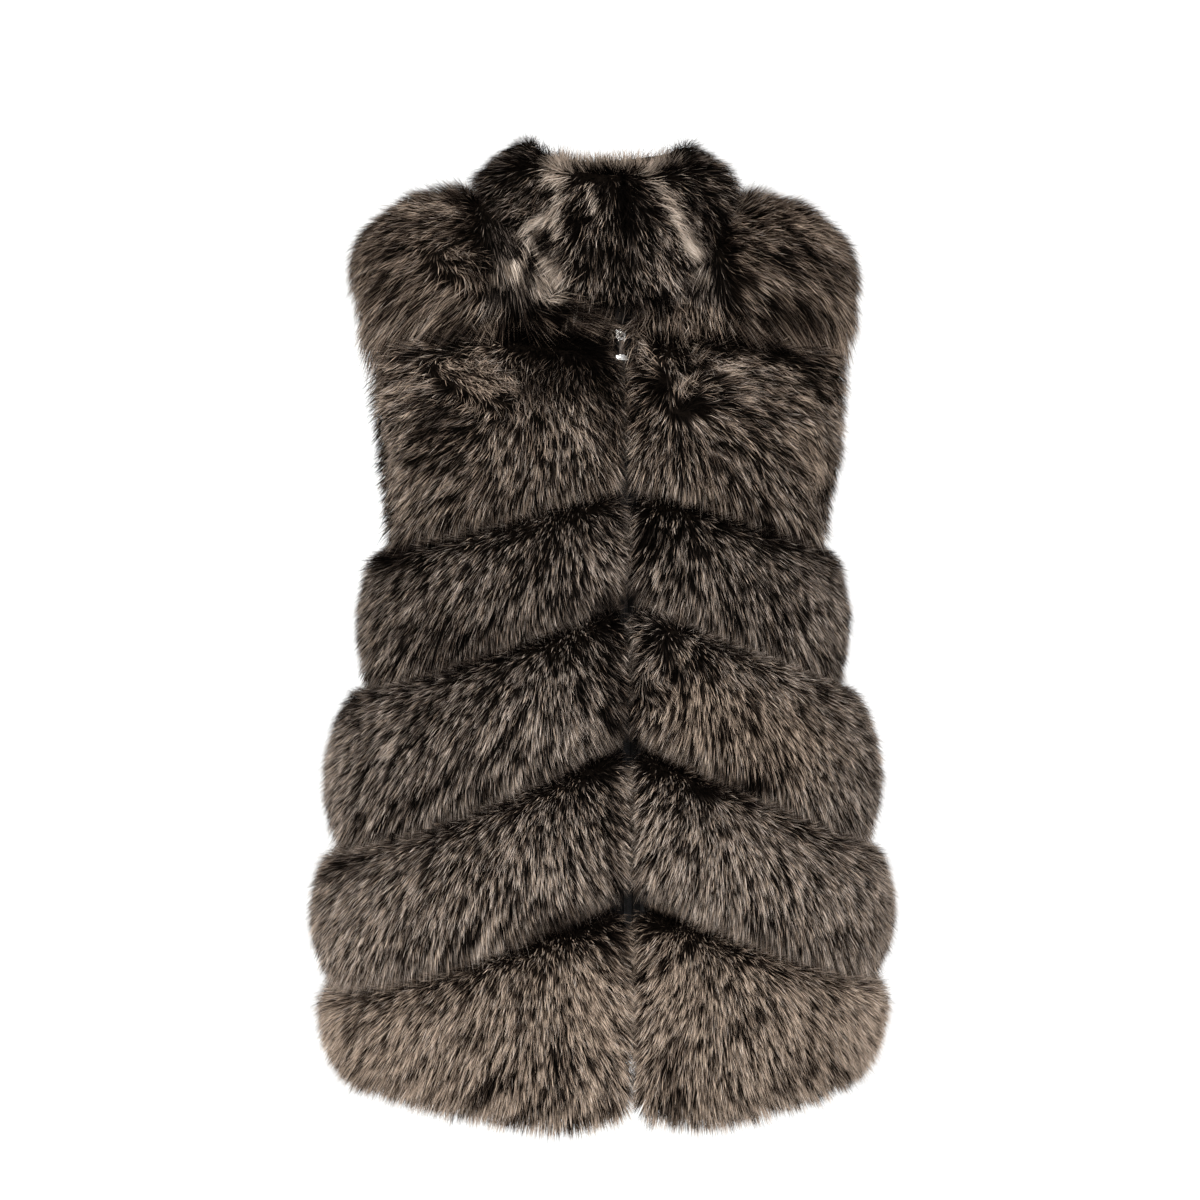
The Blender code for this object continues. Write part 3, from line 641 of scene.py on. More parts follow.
# Share of a hair's tone from its root to its tip, of guard hair and of pale underfur.
HAIR_LENGTHWISE = ((0.0, 0.12), (0.35, 0.34), (0.60, 0.80), (0.80, 1.0), (1.0, 0.90))
UNDERFUR_LENGTHWISE = ((0.0, 0.82), (0.50, 1.0), (1.0, 0.90))


def hair_material():
    """Colour from the palette: kind and tone across, root to tip up."""
    nodes = Nodes("fox_hair")
    place = nodes.add("ShaderNodeUVMap", uv_map="OFBake").outputs[0]
    split = nodes.add("ShaderNodeSeparateXYZ", i0=place)
    across, along = split.outputs[0], split.outputs[1]
    spread = nodes.math("MULTIPLY", across, float(KINDS))
    tone = nodes.math("FRACT", spread)
    streak = nodes.noise(nodes.stretched(place, (900.0, 2.0, 1.0)), 1.0, 0.0)
    wave = nodes.math("MULTIPLY", nodes.math("SUBTRACT", streak, 0.5), 0.30)
    tone = nodes.math("ADD", tone, wave)
    guard = nodes.math("MULTIPLY", tone, nodes.ramp(along, HAIR_LENGTHWISE))
    under = nodes.math("MULTIPLY", tone, nodes.ramp(along, UNDERFUR_LENGTHWISE))
    colour = nodes.ramp(guard, HAIR_TONES[GREY])
    for kind, shade in ((BROWN, guard), (PALE, under)):
        chosen = nodes.math("GREATER_THAN", across, kind / KINDS)
        colour = nodes.mix(chosen, colour, nodes.ramp(shade, HAIR_TONES[kind]))
    return nodes.surface(colour, Roughness=0.60, Specular_IOR_Level=0.0)


def form_material():
    """Dark dense underfur between the hairs, streaked downwards."""
    nodes = Nodes("fox_underfur")
    place = nodes.object_place()
    streaks = nodes.noise(nodes.stretched(place, (520.0, 520.0, 90.0)), 1.0, 3.0)
    tufts = nodes.noise(place, 70.0, 2.0)
    height = nodes.math("ADD", streaks, nodes.math("MULTIPLY", tufts, 0.8))
    colour = nodes.between(nodes.math("MULTIPLY", height, 0.6),
                           0.30, (0.0010, 0.0008, 0.0007), 0.75, (0.009, 0.0066, 0.005))
    nodes.bump(height, 0.9, 0.002)
    return nodes.surface(colour, Roughness=0.9, Specular_IOR_Level=0.0)


def leather_material():
    """Black smooth leather with a fine grain."""
    nodes = Nodes("leather_ground")
    place = nodes.object_place()
    cells = nodes.add("ShaderNodeTexVoronoi", i0=nodes.stretched(place, (900.0, 900.0, 900.0)))
    cells.inputs["Scale"].default_value = 1.0
    folds = nodes.noise(place, 60.0, 3.0)
    height = nodes.math("ADD", nodes.math("MULTIPLY", cells.outputs[0], 0.35), folds)
    colour = nodes.between(folds, 0.35, (0.004, 0.0037, 0.0036), 0.70, (0.012, 0.011, 0.0105))
    nodes.bump(height, 0.45, 0.0006)
    return nodes.surface(colour, Roughness=0.45, Specular_IOR_Level=0.28)


def tape_material():
    """Black woven tape with ribs along it."""
    nodes = Nodes("zip_tape_weave")
    place = nodes.object_place()
    ribs = nodes.add("ShaderNodeTexWave", i0=place, bands_direction="X")
    ribs.inputs["Scale"].default_value = 260.0
    rows = nodes.add("ShaderNodeTexWave", i0=place, bands_direction="Z")
    rows.inputs["Scale"].default_value = 520.0
    height = nodes.math("ADD", ribs.outputs[1], nodes.math("MULTIPLY", rows.outputs[1], 0.35))
    colour = nodes.between(nodes.math("MULTIPLY", height, 0.7),
                           0.10, (0.0015, 0.0015, 0.0016), 0.90, (0.010, 0.0098, 0.010))
    nodes.bump(height, 0.6, 0.0003)
    return nodes.surface(colour, Roughness=0.80, Specular_IOR_Level=0.05)


def speckled(name, scale, detail, dark, pale, stretch=None, bump=None, **surface):
    """A material that varies between two colours in specks."""
    nodes = Nodes(name)
    place = nodes.object_place()
    if stretch:
        place = nodes.stretched(place, stretch)
    speck = nodes.noise(place, scale, detail)
    colour = nodes.between(speck, 0.30, dark, 0.70, pale)
    if bump:
        nodes.bump(speck, *bump)
    return nodes.surface(colour, **surface)


def coil_material():
    """Black plastic of the coil's teeth."""
    return speckled("zip_coil_black", 900.0, 1.0, (0.004, 0.004, 0.0045), (0.010, 0.010, 0.011),
                    Roughness=0.40, Specular_IOR_Level=0.20)


def metal_material():
    """Bright nickel with faint polishing marks."""
    return speckled("zip_nickel", 1.0, 2.0, (0.62, 0.61, 0.59), (0.80, 0.79, 0.77),
                    stretch=(3000.0, 800.0, 800.0), bump=(0.15, 0.0001), Roughness=0.22, Metallic=1.0)


def strap_material():
    """Dark brown leather of the pull's strap."""
    return speckled("pull_strap_leather", 1500.0, 3.0, (0.020, 0.011, 0.007), (0.050, 0.030, 0.020),
                    bump=(0.4, 0.0002), Roughness=0.5)


def floor_material():
    """The studio's pale floor."""
    return speckled("pale_floor", 3.0, 1.0, (0.90, 0.90, 0.90), (0.93, 0.93, 0.93),
                    Roughness=0.9, Specular_IOR_Level=0.1)


HAIR = hair_material()
FORM = form_material()
LEATHER_SKIN = leather_material()
TAPE = tape_material()
COIL = coil_material()
METAL = metal_material()
STRAP = strap_material()


def dress(piece, material, body="vest", nodes=()):
    """Gives a piece its material, hides the solids of the nodes it stands for, and attaches it to its body.
    """
    piece.data.materials.append(material)
    if nodes:
        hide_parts(*nodes)
    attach(piece, body)
    return piece


# ------------------------------------------------------------------ the surface hairs grow on
class Turf:
    """A fine grid of the surface on which a strip's hairs are rooted.

    Control points carry how far down the strip and how far across from the centre they are.
    """

    FIELDS = ("points", "down", "across", "along_m", "down_m", "way_down", "way_along", "normals")

    def __init__(self, control, down, across, middle):
        channels = np.concatenate([control, down[..., None], across[..., None]], axis=-1)
        fine = refined(channels, ROOT_STEPS)
        self.points = fine[..., :3]
        self.down = np.clip(fine[..., 3], 0.0, 1.0)
        self.across = fine[..., 4]
        self.along_m = self.distance(1)
        self.down_m = self.distance(0)
        self.way_down = unit(np.gradient(self.points, axis=0))
        self.way_along = unit(np.gradient(self.points, axis=1))
        normals = unit(np.cross(self.way_down, self.way_along))
        outside = np.einsum("rsk,rsk->", normals, self.points - middle)
        self.normals = normals if outside > 0 else -normals

    def distance(self, axis):
        """Metres along the rows or columns of the grid from where `across` is nearest to 0."""
        steps = np.linalg.norm(np.diff(self.points, axis=axis), axis=-1)
        total = np.cumsum(steps, axis=axis)
        total = np.concatenate([np.zeros_like(np.take(total, [0], axis=axis)), total], axis=axis)
        if axis == 0:
            return total
        centre = np.argmin(np.abs(self.across), axis=1)
        return total - total[np.arange(len(total)), centre][:, None]

    def mirrored(self):
        other = Turf.__new__(Turf)
        for name in self.FIELDS:
            values = getattr(self, name)
            setattr(other, name, mirrored(values) if values.ndim == 3 else values)
        return other

    def sample(self, density, rng):
        """Roots spread evenly over the surface, as a dictionary of arrays."""
        p = self.points
        sides = p[1:, :-1] - p[:-1, :-1], p[:-1, 1:] - p[:-1, :-1]
        area = np.linalg.norm(np.cross(*sides), axis=-1).ravel()
        count = int(area.sum() * density)
        total = np.cumsum(area)
        cell = np.minimum(np.searchsorted(total, rng.random(count) * total[-1]), len(area) - 1)
        row, place = np.divmod(cell, p.shape[1] - 1)
        a, b = rng.random(count), rng.random(count)

        def at(values):
            weights = ((1 - a) * (1 - b), (1 - a) * b, a * (1 - b), a * b)
            corners = (values[row, place], values[row, place + 1],
                       values[row + 1, place], values[row + 1, place + 1])
            if values.ndim == 3:
                weights = [w[:, None] for w in weights]
            return sum(w * c for w, c in zip(weights, corners))

        roots = {name: at(getattr(self, name)) for name in self.FIELDS}
        for name in ("way_down", "way_along", "normals"):
            roots[name] = unit(roots[name])
        return roots


def framed(inner, outer, top=True, bottom=True, first=False, last=False):
    """The outer grid with the inner grid's edge added round it where the strip has a rim."""
    grid = outer
    rows = np.linspace(0.0, 1.0, outer.shape[0])
    columns = np.linspace(0.0, 1.0, outer.shape[1])
    if first:
        grid = np.concatenate([inner[:, :1], grid], axis=1)
        columns = np.concatenate([[0.0], columns])
    if last:
        grid = np.concatenate([grid, inner[:, -1:]], axis=1)
        columns = np.concatenate([columns, [1.0]])

    def edge(row):
        line = inner[row:row + 1] if row >= 0 else inner[row:]
        parts = ([line[:, :1]] if first else []) + [line] + ([line[:, -1:]] if last else [])
        return np.concatenate(parts, axis=1)

    if top:
        grid = np.concatenate([edge(0), grid], axis=0)
        rows = np.concatenate([[0.0], rows])
    if bottom:
        grid = np.concatenate([grid, edge(-1)], axis=0)
        rows = np.concatenate([rows, [1.0]])
    return grid, rows[:, None] * np.ones(len(columns)), np.ones(len(rows))[:, None] * columns


# ------------------------------------------------------------------ how the hair lies
# Per strip: lean in degrees from straight down towards the side, at five places from the zip to
# the side, lift off the surface, tone at the top and below it, shares of brown and of dark hairs,
# length, share of the way that a tip moves to the middle of its tuft, and how many degrees single
# hairs stray.
LEAN_PLACES = (0.0, 0.12, 0.30, 0.60, 1.0)
Coat = namedtuple("Coat", "leans lift tone_top tone_low brown dark length gather stray")
COATS = (
    Coat((-10, 15, 45, 62, 52), 26, 0.69, 0.67, 0.85, 0.43, 0.0205, 0.12, 16),
    Coat((-30, 6, 34, 50, 48), 32, 0.64, 0.66, 0.60, 0.54, 0.0195, 0.12, 18),
    Coat((-32, 0, 16, 26, 26), 36, 0.61, 0.640, 0.30, 0.48, 0.0172, 0.12, 10),
    Coat((-32, 0, 15, 26, 26), 36, 0.67, 0.705, 0.25, 0.43, 0.0172, 0.12, 10),
    Coat((-38, -8, 14, 24, 26), 36, 0.75, 0.790, 0.40, 0.35, 0.0172, 0.12, 10),
    Coat((-38, -10, 10, 30, 40), 36, 0.84, 0.915, 0.85, 0.28, 0.0182, 0.12, 10),
)
BACK_PLACES = (0.0, 0.3, 1.0) # places across the half back
BACK_LEANS = (0.25, 0.8)      # lean at the last two, as shares of the front's third and fifth
COLLAR_FRONT = Coat((0, 10, 24, 44, 60), 38, 0.44, 0.62, 0.35, 0.60, 0.0170, 0.14, 15)
COLLAR_REST = Coat((0, 0, 0, 0, 0), 36, 0.46, 0.56, 0.35, 0.58, 0.0180, 0.16, 13)
LIFT_PLACES = (0.0, 0.15, 0.60, 0.85, 1.0)   # down a strip, with the degrees of lift added there
LIFT_ADDED = (0.0, 0.0, 0.0, 6.0, 14.0)
FACING_LIFT = (62, 16)        # degrees more lift where the surface faces down, and where it faces up
LEAN_WAVES = ((12, 0.055), (8, 0.022))   # slow changes of the lean: degrees and size in metres
TUFT = (0.0045, 0.0135)       # size of a tuft across and along the flow, as are the next sizes in pairs
TUFT_WAVE = (0.8, 0.011)      # how far tufts wander, in tufts, and over how many metres
TUFT_LEAN = 10                # degrees that a whole tuft strays, as is the next
TUFT_LIFT = 7
LIFT_STRAY = 7.0              # degrees that the lift of single hairs strays
COURSE_STEP = math.radians(15.0)   # between the ways in which tufts are laid out

TUFT_LENGTH = 0.14            # by what share a whole tuft is longer or shorter
LENGTHS = (0.75, 1.12)        # of single hairs, as shares of the coat's length
WIDTHS = (0.75, 1.25)
FRINGE_ROWS = (0.75, 0.95)    # where the hair gets longer towards a strip's lower edge
TOP_ROW = 0.12                # where the hair gets its whole length below a strip's top
TOP_SHORT = 0.6               # share of its length that hair has at a strip's top
HAIR_WIDTH = 0.00051
FINE_SHARE = 0.80             # share of hairs that are one sliver instead of a bent blade
SLIVER_LENGTH = 1.12
SLIVER_WIDTH = 1.1            # width of a sliver's root as a share of a blade's width
WISP_SHARE = 0.15             # share of the slivers that are long, thin wisps
WISP_LENGTH = 1.32
WISP_WIDTH = 0.5
MIDDLE = 0.58                 # where along a hair it is widest
MIDDLE_FOLLOWS = 0.4          # share of its tip's way to the tuft that a hair's middle makes
ROOT_SINK = 0.001             # how deep a root is in the dark form
ROLL_STRAY = 28.0             # degrees
DROOP = 0.25                  # least that a hair hangs; the most is twice as much

TONE_ROWS = (0.03, 0.20)      # where the tone goes over from a strip's top to the rest; a darker top is partly darker roots and partly painted shadow of the strip above
TONE_PATCHES = (0.10, 0.042)  # change of tone and size of large patches
TONE_LOCKS = (0.08, (0.006, 0.018))
TUFT_TONE = 0.05
TONE_STRAY = 0.09
DARK_HAIR = -0.52             # change of tone of the dark guard hairs
PALE_HAIRS = (0.24, 0.20)     # share of hairs that are paler than the rest, and by how much
FLECK_SIZE = (0.0013, 0.0100) # thin dark and pale flecks
FLECK_SHARE = 0.8             # how far hairs of a fleck are alike
GAP_SIZE = (0.0028, 0.0095)   # painted shade in the gaps between tufts: their size
GAP_STARTS = (0.20, 0.52)     # noise at which a gap begins and is full
GAP_PAINTED_SHADE = 0.48
UP_RIM_PAINTED_SHADE = 0.08               # painted shade: how much darker the hair is at a rim that faces up, dimming the light it gets from above
RIM_FACING = (0.15, 0.75)
UNDERFUR_TONE = 0.70          # least tone of pale underfur
TONES = (0.03, 0.97)          # least and most tone, so that a kind's hairs keep to its palette
KIND_SHARE = 1.2              # share of hairs in the middle of a streak that are of its kind
SEEN_SHARE = 0.72             # where along a hair its colour shows most
SEEN_FACING = (0.0, 0.25)     # how far a surface turns to the camera before the photograph steers it

ZIP_CLEAR = (-0.0042, 0.0010) # nearest that a tip comes to the middle of the zip
PULL_CLEAR = 0.0088           # the same beside the pull, at these heights
PULL_CLEAR_Z = (-0.135, -0.112)
SCATTER_CELLS = 1e5           # cells in a metre that have a chance of their own
SCATTER_SEED = 7
PULL_STRAYS = 0.10            # share of hairs that cross the pull all the same
SKIN_CLEAR = 1.025            # nearest that a hair comes to the axis, as a share of the torso's skin
DRAWN_BACK = (0.3, 8)         # by what share, and how many times, a hair inside the torso is shortened

# Ways that the hair of the front and the collar is combed. Each row is a half width and the
# points of a route, in the photograph's pixels.
Comb = namedtuple("Comb", "route width")
COMBS = [Comb(route, width) for width, *route in (
    # the collar's front ends
    (14, (575, 175), (566, 200), (561, 232)), (11, (556, 240), (543, 268)), (16, (580, 240), (574, 300)),
    (16, (605, 235), (604, 300)), (16, (640, 230), (650, 300)), (13, (668, 235), (684, 285)),
    (12, (640, 185), (672, 215)), (11, (620, 190), (622, 225)),
    # along its partings
    (7, (557, 160), (554, 178), (552, 203), (554, 228)), (8, (545, 212), (530, 217), (522, 228)),
    (8, (520, 226), (524, 242), (537, 256)), (8, (532, 250), (543, 265), (556, 282)),
    (6, (498, 262), (514, 256), (528, 254)), (8, (650, 155), (660, 170), (671, 187), (680, 207)),
    (8, (680, 205), (687, 225), (696, 241)), (7, (692, 240), (702, 249), (716, 250)),
    # its sides
    (16, (535, 175), (515, 200), (490, 215)), (14, (525, 225), (490, 245)),
    (14, (672, 150), (690, 175), (712, 190)), (12, (690, 195), (705, 235)),
    # right shoulder
    (18, (460, 200), (420, 215), (380, 240)), (16, (440, 235), (395, 255), (365, 280)),
    (14, (430, 262), (395, 285), (355, 310)), (11, (440, 252), (465, 260), (485, 272)),
    (11, (500, 268), (530, 286), (560, 294)), (12, (440, 298), (400, 306), (360, 320)),
    (12, (500, 284), (470, 289), (430, 295)), (12, (495, 300), (450, 305), (405, 318)),
    (11, (512, 302), (495, 316), (475, 334)), (12, (465, 322), (430, 328), (375, 345)),
    (11, (495, 302), (530, 308), (580, 320)), (11, (510, 330), (550, 335), (600, 342)),
    # right chest
    (12, (460, 345), (430, 349), (390, 360), (360, 375)), (13, (445, 362), (475, 374), (505, 388)),
    (13, (440, 388), (400, 392), (365, 394)), (18, (470, 425), (430, 440), (385, 462)),
    (18, (480, 450), (440, 480), (400, 515)), (15, (490, 470), (465, 500), (440, 525)),
    (13, (500, 430), (495, 470)), (16, (540, 400), (552, 430), (556, 465)),
    (15, (575, 395), (590, 430), (603, 465)), (14, (520, 370), (525, 410), (518, 450)),
    # left shoulder
    (18, (740, 195), (775, 205), (815, 225)), (15, (760, 240), (800, 255), (840, 285)),
    (13, (790, 245), (825, 265), (855, 300)), (14, (770, 300), (805, 335), (835, 380)),
    (12, (740, 320), (780, 350), (815, 385)), (12, (820, 300), (840, 340), (845, 380)),
    (13, (700, 290), (705, 320), (712, 345)), (10, (740, 285), (765, 310)), (13, (665, 290), (672, 335)),
    # left chest, out from its middle
    (9, (666, 372), (650, 358), (632, 364), (617, 384)), (11, (652, 385), (632, 402), (617, 425)),
    (12, (655, 412), (632, 440), (618, 466)), (11, (662, 428), (650, 455), (640, 480)),
    (11, (674, 432), (670, 458), (664, 486)), (12, (690, 428), (702, 455), (715, 486)),
    (13, (702, 418), (730, 440), (752, 478)), (14, (717, 410), (750, 425), (795, 458)),
    (13, (704, 398), (740, 396), (790, 412)), (12, (700, 380), (740, 370), (790, 386)),
    (8, (682, 402), (684, 386), (692, 370)), (12, (800, 435), (815, 465), (818, 492)),
    (6, (662, 362), (674, 376), (682, 392)),
    # across the slider
    (8, (594, 316), (610, 325), (622, 333)), (8, (652, 316), (638, 325), (626, 335)),
    # a curl below it
    (8, (672, 624), (642, 628), (628, 645), (629, 668), (640, 685), (657, 689)),
    (6, (656, 641), (643, 650), (641, 665), (650, 676), (662, 680)),
    (8, (674, 640), (681, 665), (679, 692)),
)]
COMB_BASE = 0.012             # weight of the strip's own lie where combs are near
COMB_SHARPNESS = 2.5          # the higher, the more the nearest comb alone decides

# Darker and paler places of the front and the collar: route and half width in the photograph's
# pixels, change of tone, and the kind of hair there if it is another.
Streak = namedtuple("Streak", "route width change kind")


def streaks(change, *places, kind=None):
    """Streaks of one change of tone; each place is a half width and the points of its route."""
    return [Streak(route, width, change, kind) for width, *route in places]


STREAKS = (
    # pale underfur at the collar's partings and along its crest
    *streaks(0.30, (3.2, (557, 180), (554, 195), (552, 215), (554, 236)),
             (5.4, (540, 220), (527, 224), (520, 238), (528, 252)),
             (4.6, (538, 222), (527, 226), (521, 237), (525, 250), (537, 263), (548, 277), (558, 291)),
             (3.6, (650, 163), (660, 178), (671, 195), (679, 215)),
             (4.8, (679, 215), (687, 235), (695, 250)), (6.0, (692, 246), (704, 259), (718, 259)),
             (2.4, (586, 186), (592, 207), (597, 220)), kind=PALE),
    *streaks(0.06, (3.4, (503, 262), (518, 256), (526, 254)), kind=PALE),
    *streaks(0.26, (8.0, (548, 158), (549, 180)), (7.0, (560, 154), (600, 151), (640, 154), (652, 160)),
             kind=PALE),
    # dark places of the collar
    *streaks(-0.52, (9, (585, 167), (600, 172)), (9, (570, 212), (576, 222)), (8, (622, 171), (641, 168)),
             (11, (630, 182), (624, 205), (629, 230)), (6, (655, 208), (657, 210)),
             (6, (541, 241), (543, 251))),
    *streaks(-0.22, (7, (595, 185), (603, 205)), (7, (620, 255), (632, 268)), (5, (600, 255), (596, 285)),
             (10, (522, 165), (512, 180), (522, 195)), (11, (492, 200), (500, 212)),
             (8, (690, 163), (698, 182))),
    *streaks(-0.32, (5, (506, 228), (508, 244)), (5, (522, 272), (532, 284)), (6, (698, 203), (708, 221)),
             (3, (475, 208), (475, 232), (478, 264)), (4, (724, 215), (724, 255))),
    *streaks(0.14, (12, (560, 285), (600, 292)), (12, (645, 280), (675, 285)), (3, (471, 190), (473, 228))),
    # right shoulder
    *streaks(-0.34, (6, (505, 270), (517, 276)), (6, (490, 286), (503, 286)), (8, (520, 307), (600, 308)),
             (11, (508, 326), (560, 331), (600, 337)), (9, (535, 348), (600, 352)),
             (8, (445, 322), (470, 331)), (10, (540, 296), (560, 302)), (8, (440, 338), (462, 339)),
             (10, (508, 338), (600, 347))),
    *streaks(-0.20, (9, (450, 226), (458, 232)), (8, (385, 246), (402, 250)), (9, (385, 272), (365, 292)),
             (5, (395, 327), (440, 322)), (6, (462, 304), (500, 311)),
             (4, (400, 356), (430, 350), (458, 355)), (18, (528, 356), (600, 366))),
    *streaks(0.19, (9, (445, 266), (470, 279)), (10, (365, 322), (400, 308), (440, 306)),
             (10, (400, 205), (450, 208)), (7, (470, 297), (515, 303)), (7, (365, 345), (385, 338))),
    *streaks(0.32, (10, (500, 325), (478, 348)), (15, (448, 368), (490, 383)), (11, (455, 392), (490, 396)),
             kind=BROWN),
    # right chest
    *streaks(-0.24, (16, (532, 386), (600, 384)), (9, (440, 412), (455, 404)), (11, (420, 430), (465, 432)),
             (10, (430, 462), (455, 470)), (9, (485, 470), (487, 486)), (12, (605, 400), (608, 440)),
             (6, (384, 356), (415, 352)), (7, (375, 372), (400, 374))),
    *streaks(0.14, (11, (490, 445), (520, 450)), (10, (505, 472), (530, 468)), (9, (375, 405), (395, 408)),
             (14, (385, 500), (400, 530)), (10, (575, 430), (583, 436))),
    # left shoulder
    *streaks(-0.36, (8, (743, 274), (748, 272)), (14, (770, 305), (808, 312)), (9, (742, 346), (780, 350)),
             (9, (780, 350), (806, 364), (824, 394)), (8, (655, 298), (665, 303))),
    *streaks(-0.22, (7, (768, 256), (780, 258)), (10, (805, 245), (840, 275)), (7, (700, 325), (706, 338)),
             (10, (745, 325), (765, 332)), (6, (790, 224), (792, 226)), (10, (720, 235), (735, 240))),
    *streaks(0.14, (9, (735, 262), (755, 256)), (12, (790, 215), (830, 230)), (8, (668, 328), (674, 334)),
             (10, (838, 330), (842, 390)), (8, (835, 300), (845, 320)), kind=BROWN),
    # left chest
    *streaks(-0.42, (9, (651, 386), (652, 398)), (8, (678, 412), (686, 406)), (6, (696, 402), (724, 402)),
             (9, (674, 346), (686, 353)), (6, (695, 367), (704, 364)), (5, (660, 402), (664, 405))),
    *streaks(-0.24, (7, (732, 446), (742, 452)), (6, (713, 445), (717, 472)), (6, (706, 345), (725, 345)),
             (5, (750, 372), (757, 372)), (6, (720, 376), (730, 378)), (7, (745, 412), (752, 420))),
    *streaks(0.20, (8, (640, 352), (660, 360)), (7, (624, 438), (630, 446)), (6, (662, 412), (658, 424)),
             (5, (702, 422), (714, 446)), (8, (722, 366), (745, 362))),
    *streaks(0.20, (14, (808, 440), (818, 480)), (9, (800, 398), (812, 404)), kind=BROWN),
    # the rows below
    *streaks(-0.40, (6, (646, 645), (668, 650)), (6, (669, 655), (676, 668), (677, 682)),
             (6, (648, 691), (664, 694)), (7, (648, 526), (645, 542)), (8, (698, 788), (718, 795)),
             (6, (738, 786), (766, 789))),
    *streaks(-0.36, (7, (735, 1030), (762, 1012)), (8, (672, 1052), (690, 1046)),
             (12, (596, 764), (632, 748)), (12, (634, 752), (668, 768)), (12, (560, 928), (632, 898)),
             (12, (634, 898), (672, 916)), (10, (606, 606), (632, 594)), (8, (510, 942), (545, 930))),
    *streaks(0.10, (16, (590, 985), (600, 1040)), (22, (670, 985), (700, 1000)), kind=BROWN),
    *streaks(-0.26, (20, (820, 1060), (822, 1062)), (13, (668, 1068), (680, 1122)),
             (13, (556, 1064), (560, 1068)), (20, (548, 912), (618, 935)), (6, (768, 508), (774, 545)),
             (8, (434, 790), (398, 814)), (14, (318, 870), (350, 860)), (10, (340, 716), (352, 702)),
             (10, (382, 560), (407, 548)), (9, (628, 690), (629, 742)), (11, (613, 772), (616, 885)),
             (9, (612, 622), (614, 730)), (12, (560, 768), (604, 775)), (10, (720, 775), (760, 782))),
    # painted light over the shade along the fourth row's top, below its groove
    *streaks(0.20, (10, (690, 630), (730, 646), (765, 662), (800, 672))),
    *streaks(-0.08, (26, (340, 1085), (480, 1105), (600, 1095), (760, 1100), (840, 1080))),
    *streaks(-0.05, (50, (420, 680), (560, 735)), (26, (400, 660), (500, 640), (590, 615)),
             (20, (430, 650), (520, 630))),
    *streaks(0.07, (50, (670, 690), (810, 725))),
    # the last three lighten the chest's top rim along the groove under the yoke: painted light over the
    # groove's shade
    *streaks(0.10, (24, (655, 1000), (665, 1030)), (4, (650, 672), (662, 682)), (8, (362, 350), (420, 345)),
             (6, (470, 352), (505, 352)), (6, (640, 342), (730, 340))),
    *streaks(0.09, (50, (700, 715), (790, 745)), kind=BROWN),
)

Hairs = namedtuple("Hairs", "root way normal length width roll droop kind tone fine")


def with_zero(*arrays):
    """Points of two coordinates, with a third that is 0."""
    return np.stack([*arrays, np.zeros_like(arrays[0])], axis=-1)


def tufts(side, along, course, seed):
    """The tuft of each hair and the tuft's cell; a course is one of the ways that hairs run."""
    flat = with_zero(side, along)
    reach, size = TUFT_WAVE
    wave = np.stack([noise(flat, size, seed + axis) for axis in range(2)], axis=-1)
    cells = np.stack([*np.floor(flat[:, :2] / TUFT + reach * wave).T, course], axis=-1).astype(np.int64)
    _, member = np.unique(cells, axis=0, return_inverse=True)
    return member.ravel(), cells


def camera_frame():
    """The camera's place, the way it looks, and its right."""
    yaw = math.radians(CAMERA_YAW)
    aim = yaw - math.radians(CAMERA_AIM)
    place = np.array([-CAMERA_DISTANCE * math.sin(yaw), -CAMERA_DISTANCE * math.cos(yaw), CAMERA_Z])
    forward = np.array([math.sin(aim), math.cos(aim), 0.0])
    return place, forward, np.array([math.cos(aim), -math.sin(aim), 0.0])


def in_photo(points):
    """Where the camera sees these points, in the photograph's pixels."""
    place, forward, right = camera_frame()
    away = points - place
    scale = FRAME * CAMERA_LENS / CAMERA_SENSOR / (away @ forward)
    return np.stack([FRAME / 2 + scale * (away @ right), FRAME / 2 - scale * away[:, 2]], axis=-1)


def near_route(pixels, route, width):
    """How near pixels are to a route, from 0 to 1, and its direction at the nearest place."""
    route = np.array(route, float)
    best = np.full(len(pixels), np.inf)
    way = np.zeros((len(pixels), 2))
    for first, last in zip(route[:-1], route[1:]):
        step = last - first
        share = np.clip((pixels - first) @ step / (step @ step), 0.0, 1.0)
        distance = np.linalg.norm(pixels - first - share[:, None] * step, axis=1)
        closer = distance < best
        best = np.where(closer, distance, best)
        way[closer] = step / np.linalg.norm(step)
    return np.exp(-(best / width) ** 2), way


def combed(roots, lean):
    """Lean, in degrees, of hairs that the camera sees, after the combs."""
    _, forward, right = camera_frame()
    pixels = in_photo(roots["points"])
    angle = np.radians(lean)
    down, along = roots["way_down"], roots["way_along"]
    total = COMB_BASE * (down * np.cos(angle)[:, None] + along * np.sin(angle)[:, None])
    seen = smoothstep(*SEEN_FACING, -(roots["normals"] @ forward))
    for comb in COMBS:
        share, way = near_route(pixels, comb.route, comb.width)
        weight = share ** COMB_SHARPNESS * seen
        total += weight[:, None] * (way[:, :1] * right + way[:, 1:] * GRAVITY)
    overlap = np.einsum("ij,ij->i", down, along)
    with_down, with_along = np.einsum("ij,ij->i", total, down), np.einsum("ij,ij->i", total, along)
    return np.degrees(np.arctan2(with_along - overlap * with_down, with_down - overlap * with_along))


def front_lean(coat, roots):
    """Lean of a front's hairs, after the combs."""
    return combed(roots, np.interp(roots["across"], LEAN_PLACES, coat.leans))


def back_lean(coat, roots):
    """Lean of the back's hairs: none in the middle, most at the sides."""
    near, side = BACK_LEANS
    return np.interp(np.abs(roots["across"]), BACK_PLACES,
                     (0.0, near * coat.leans[2], side * coat.leans[4]))


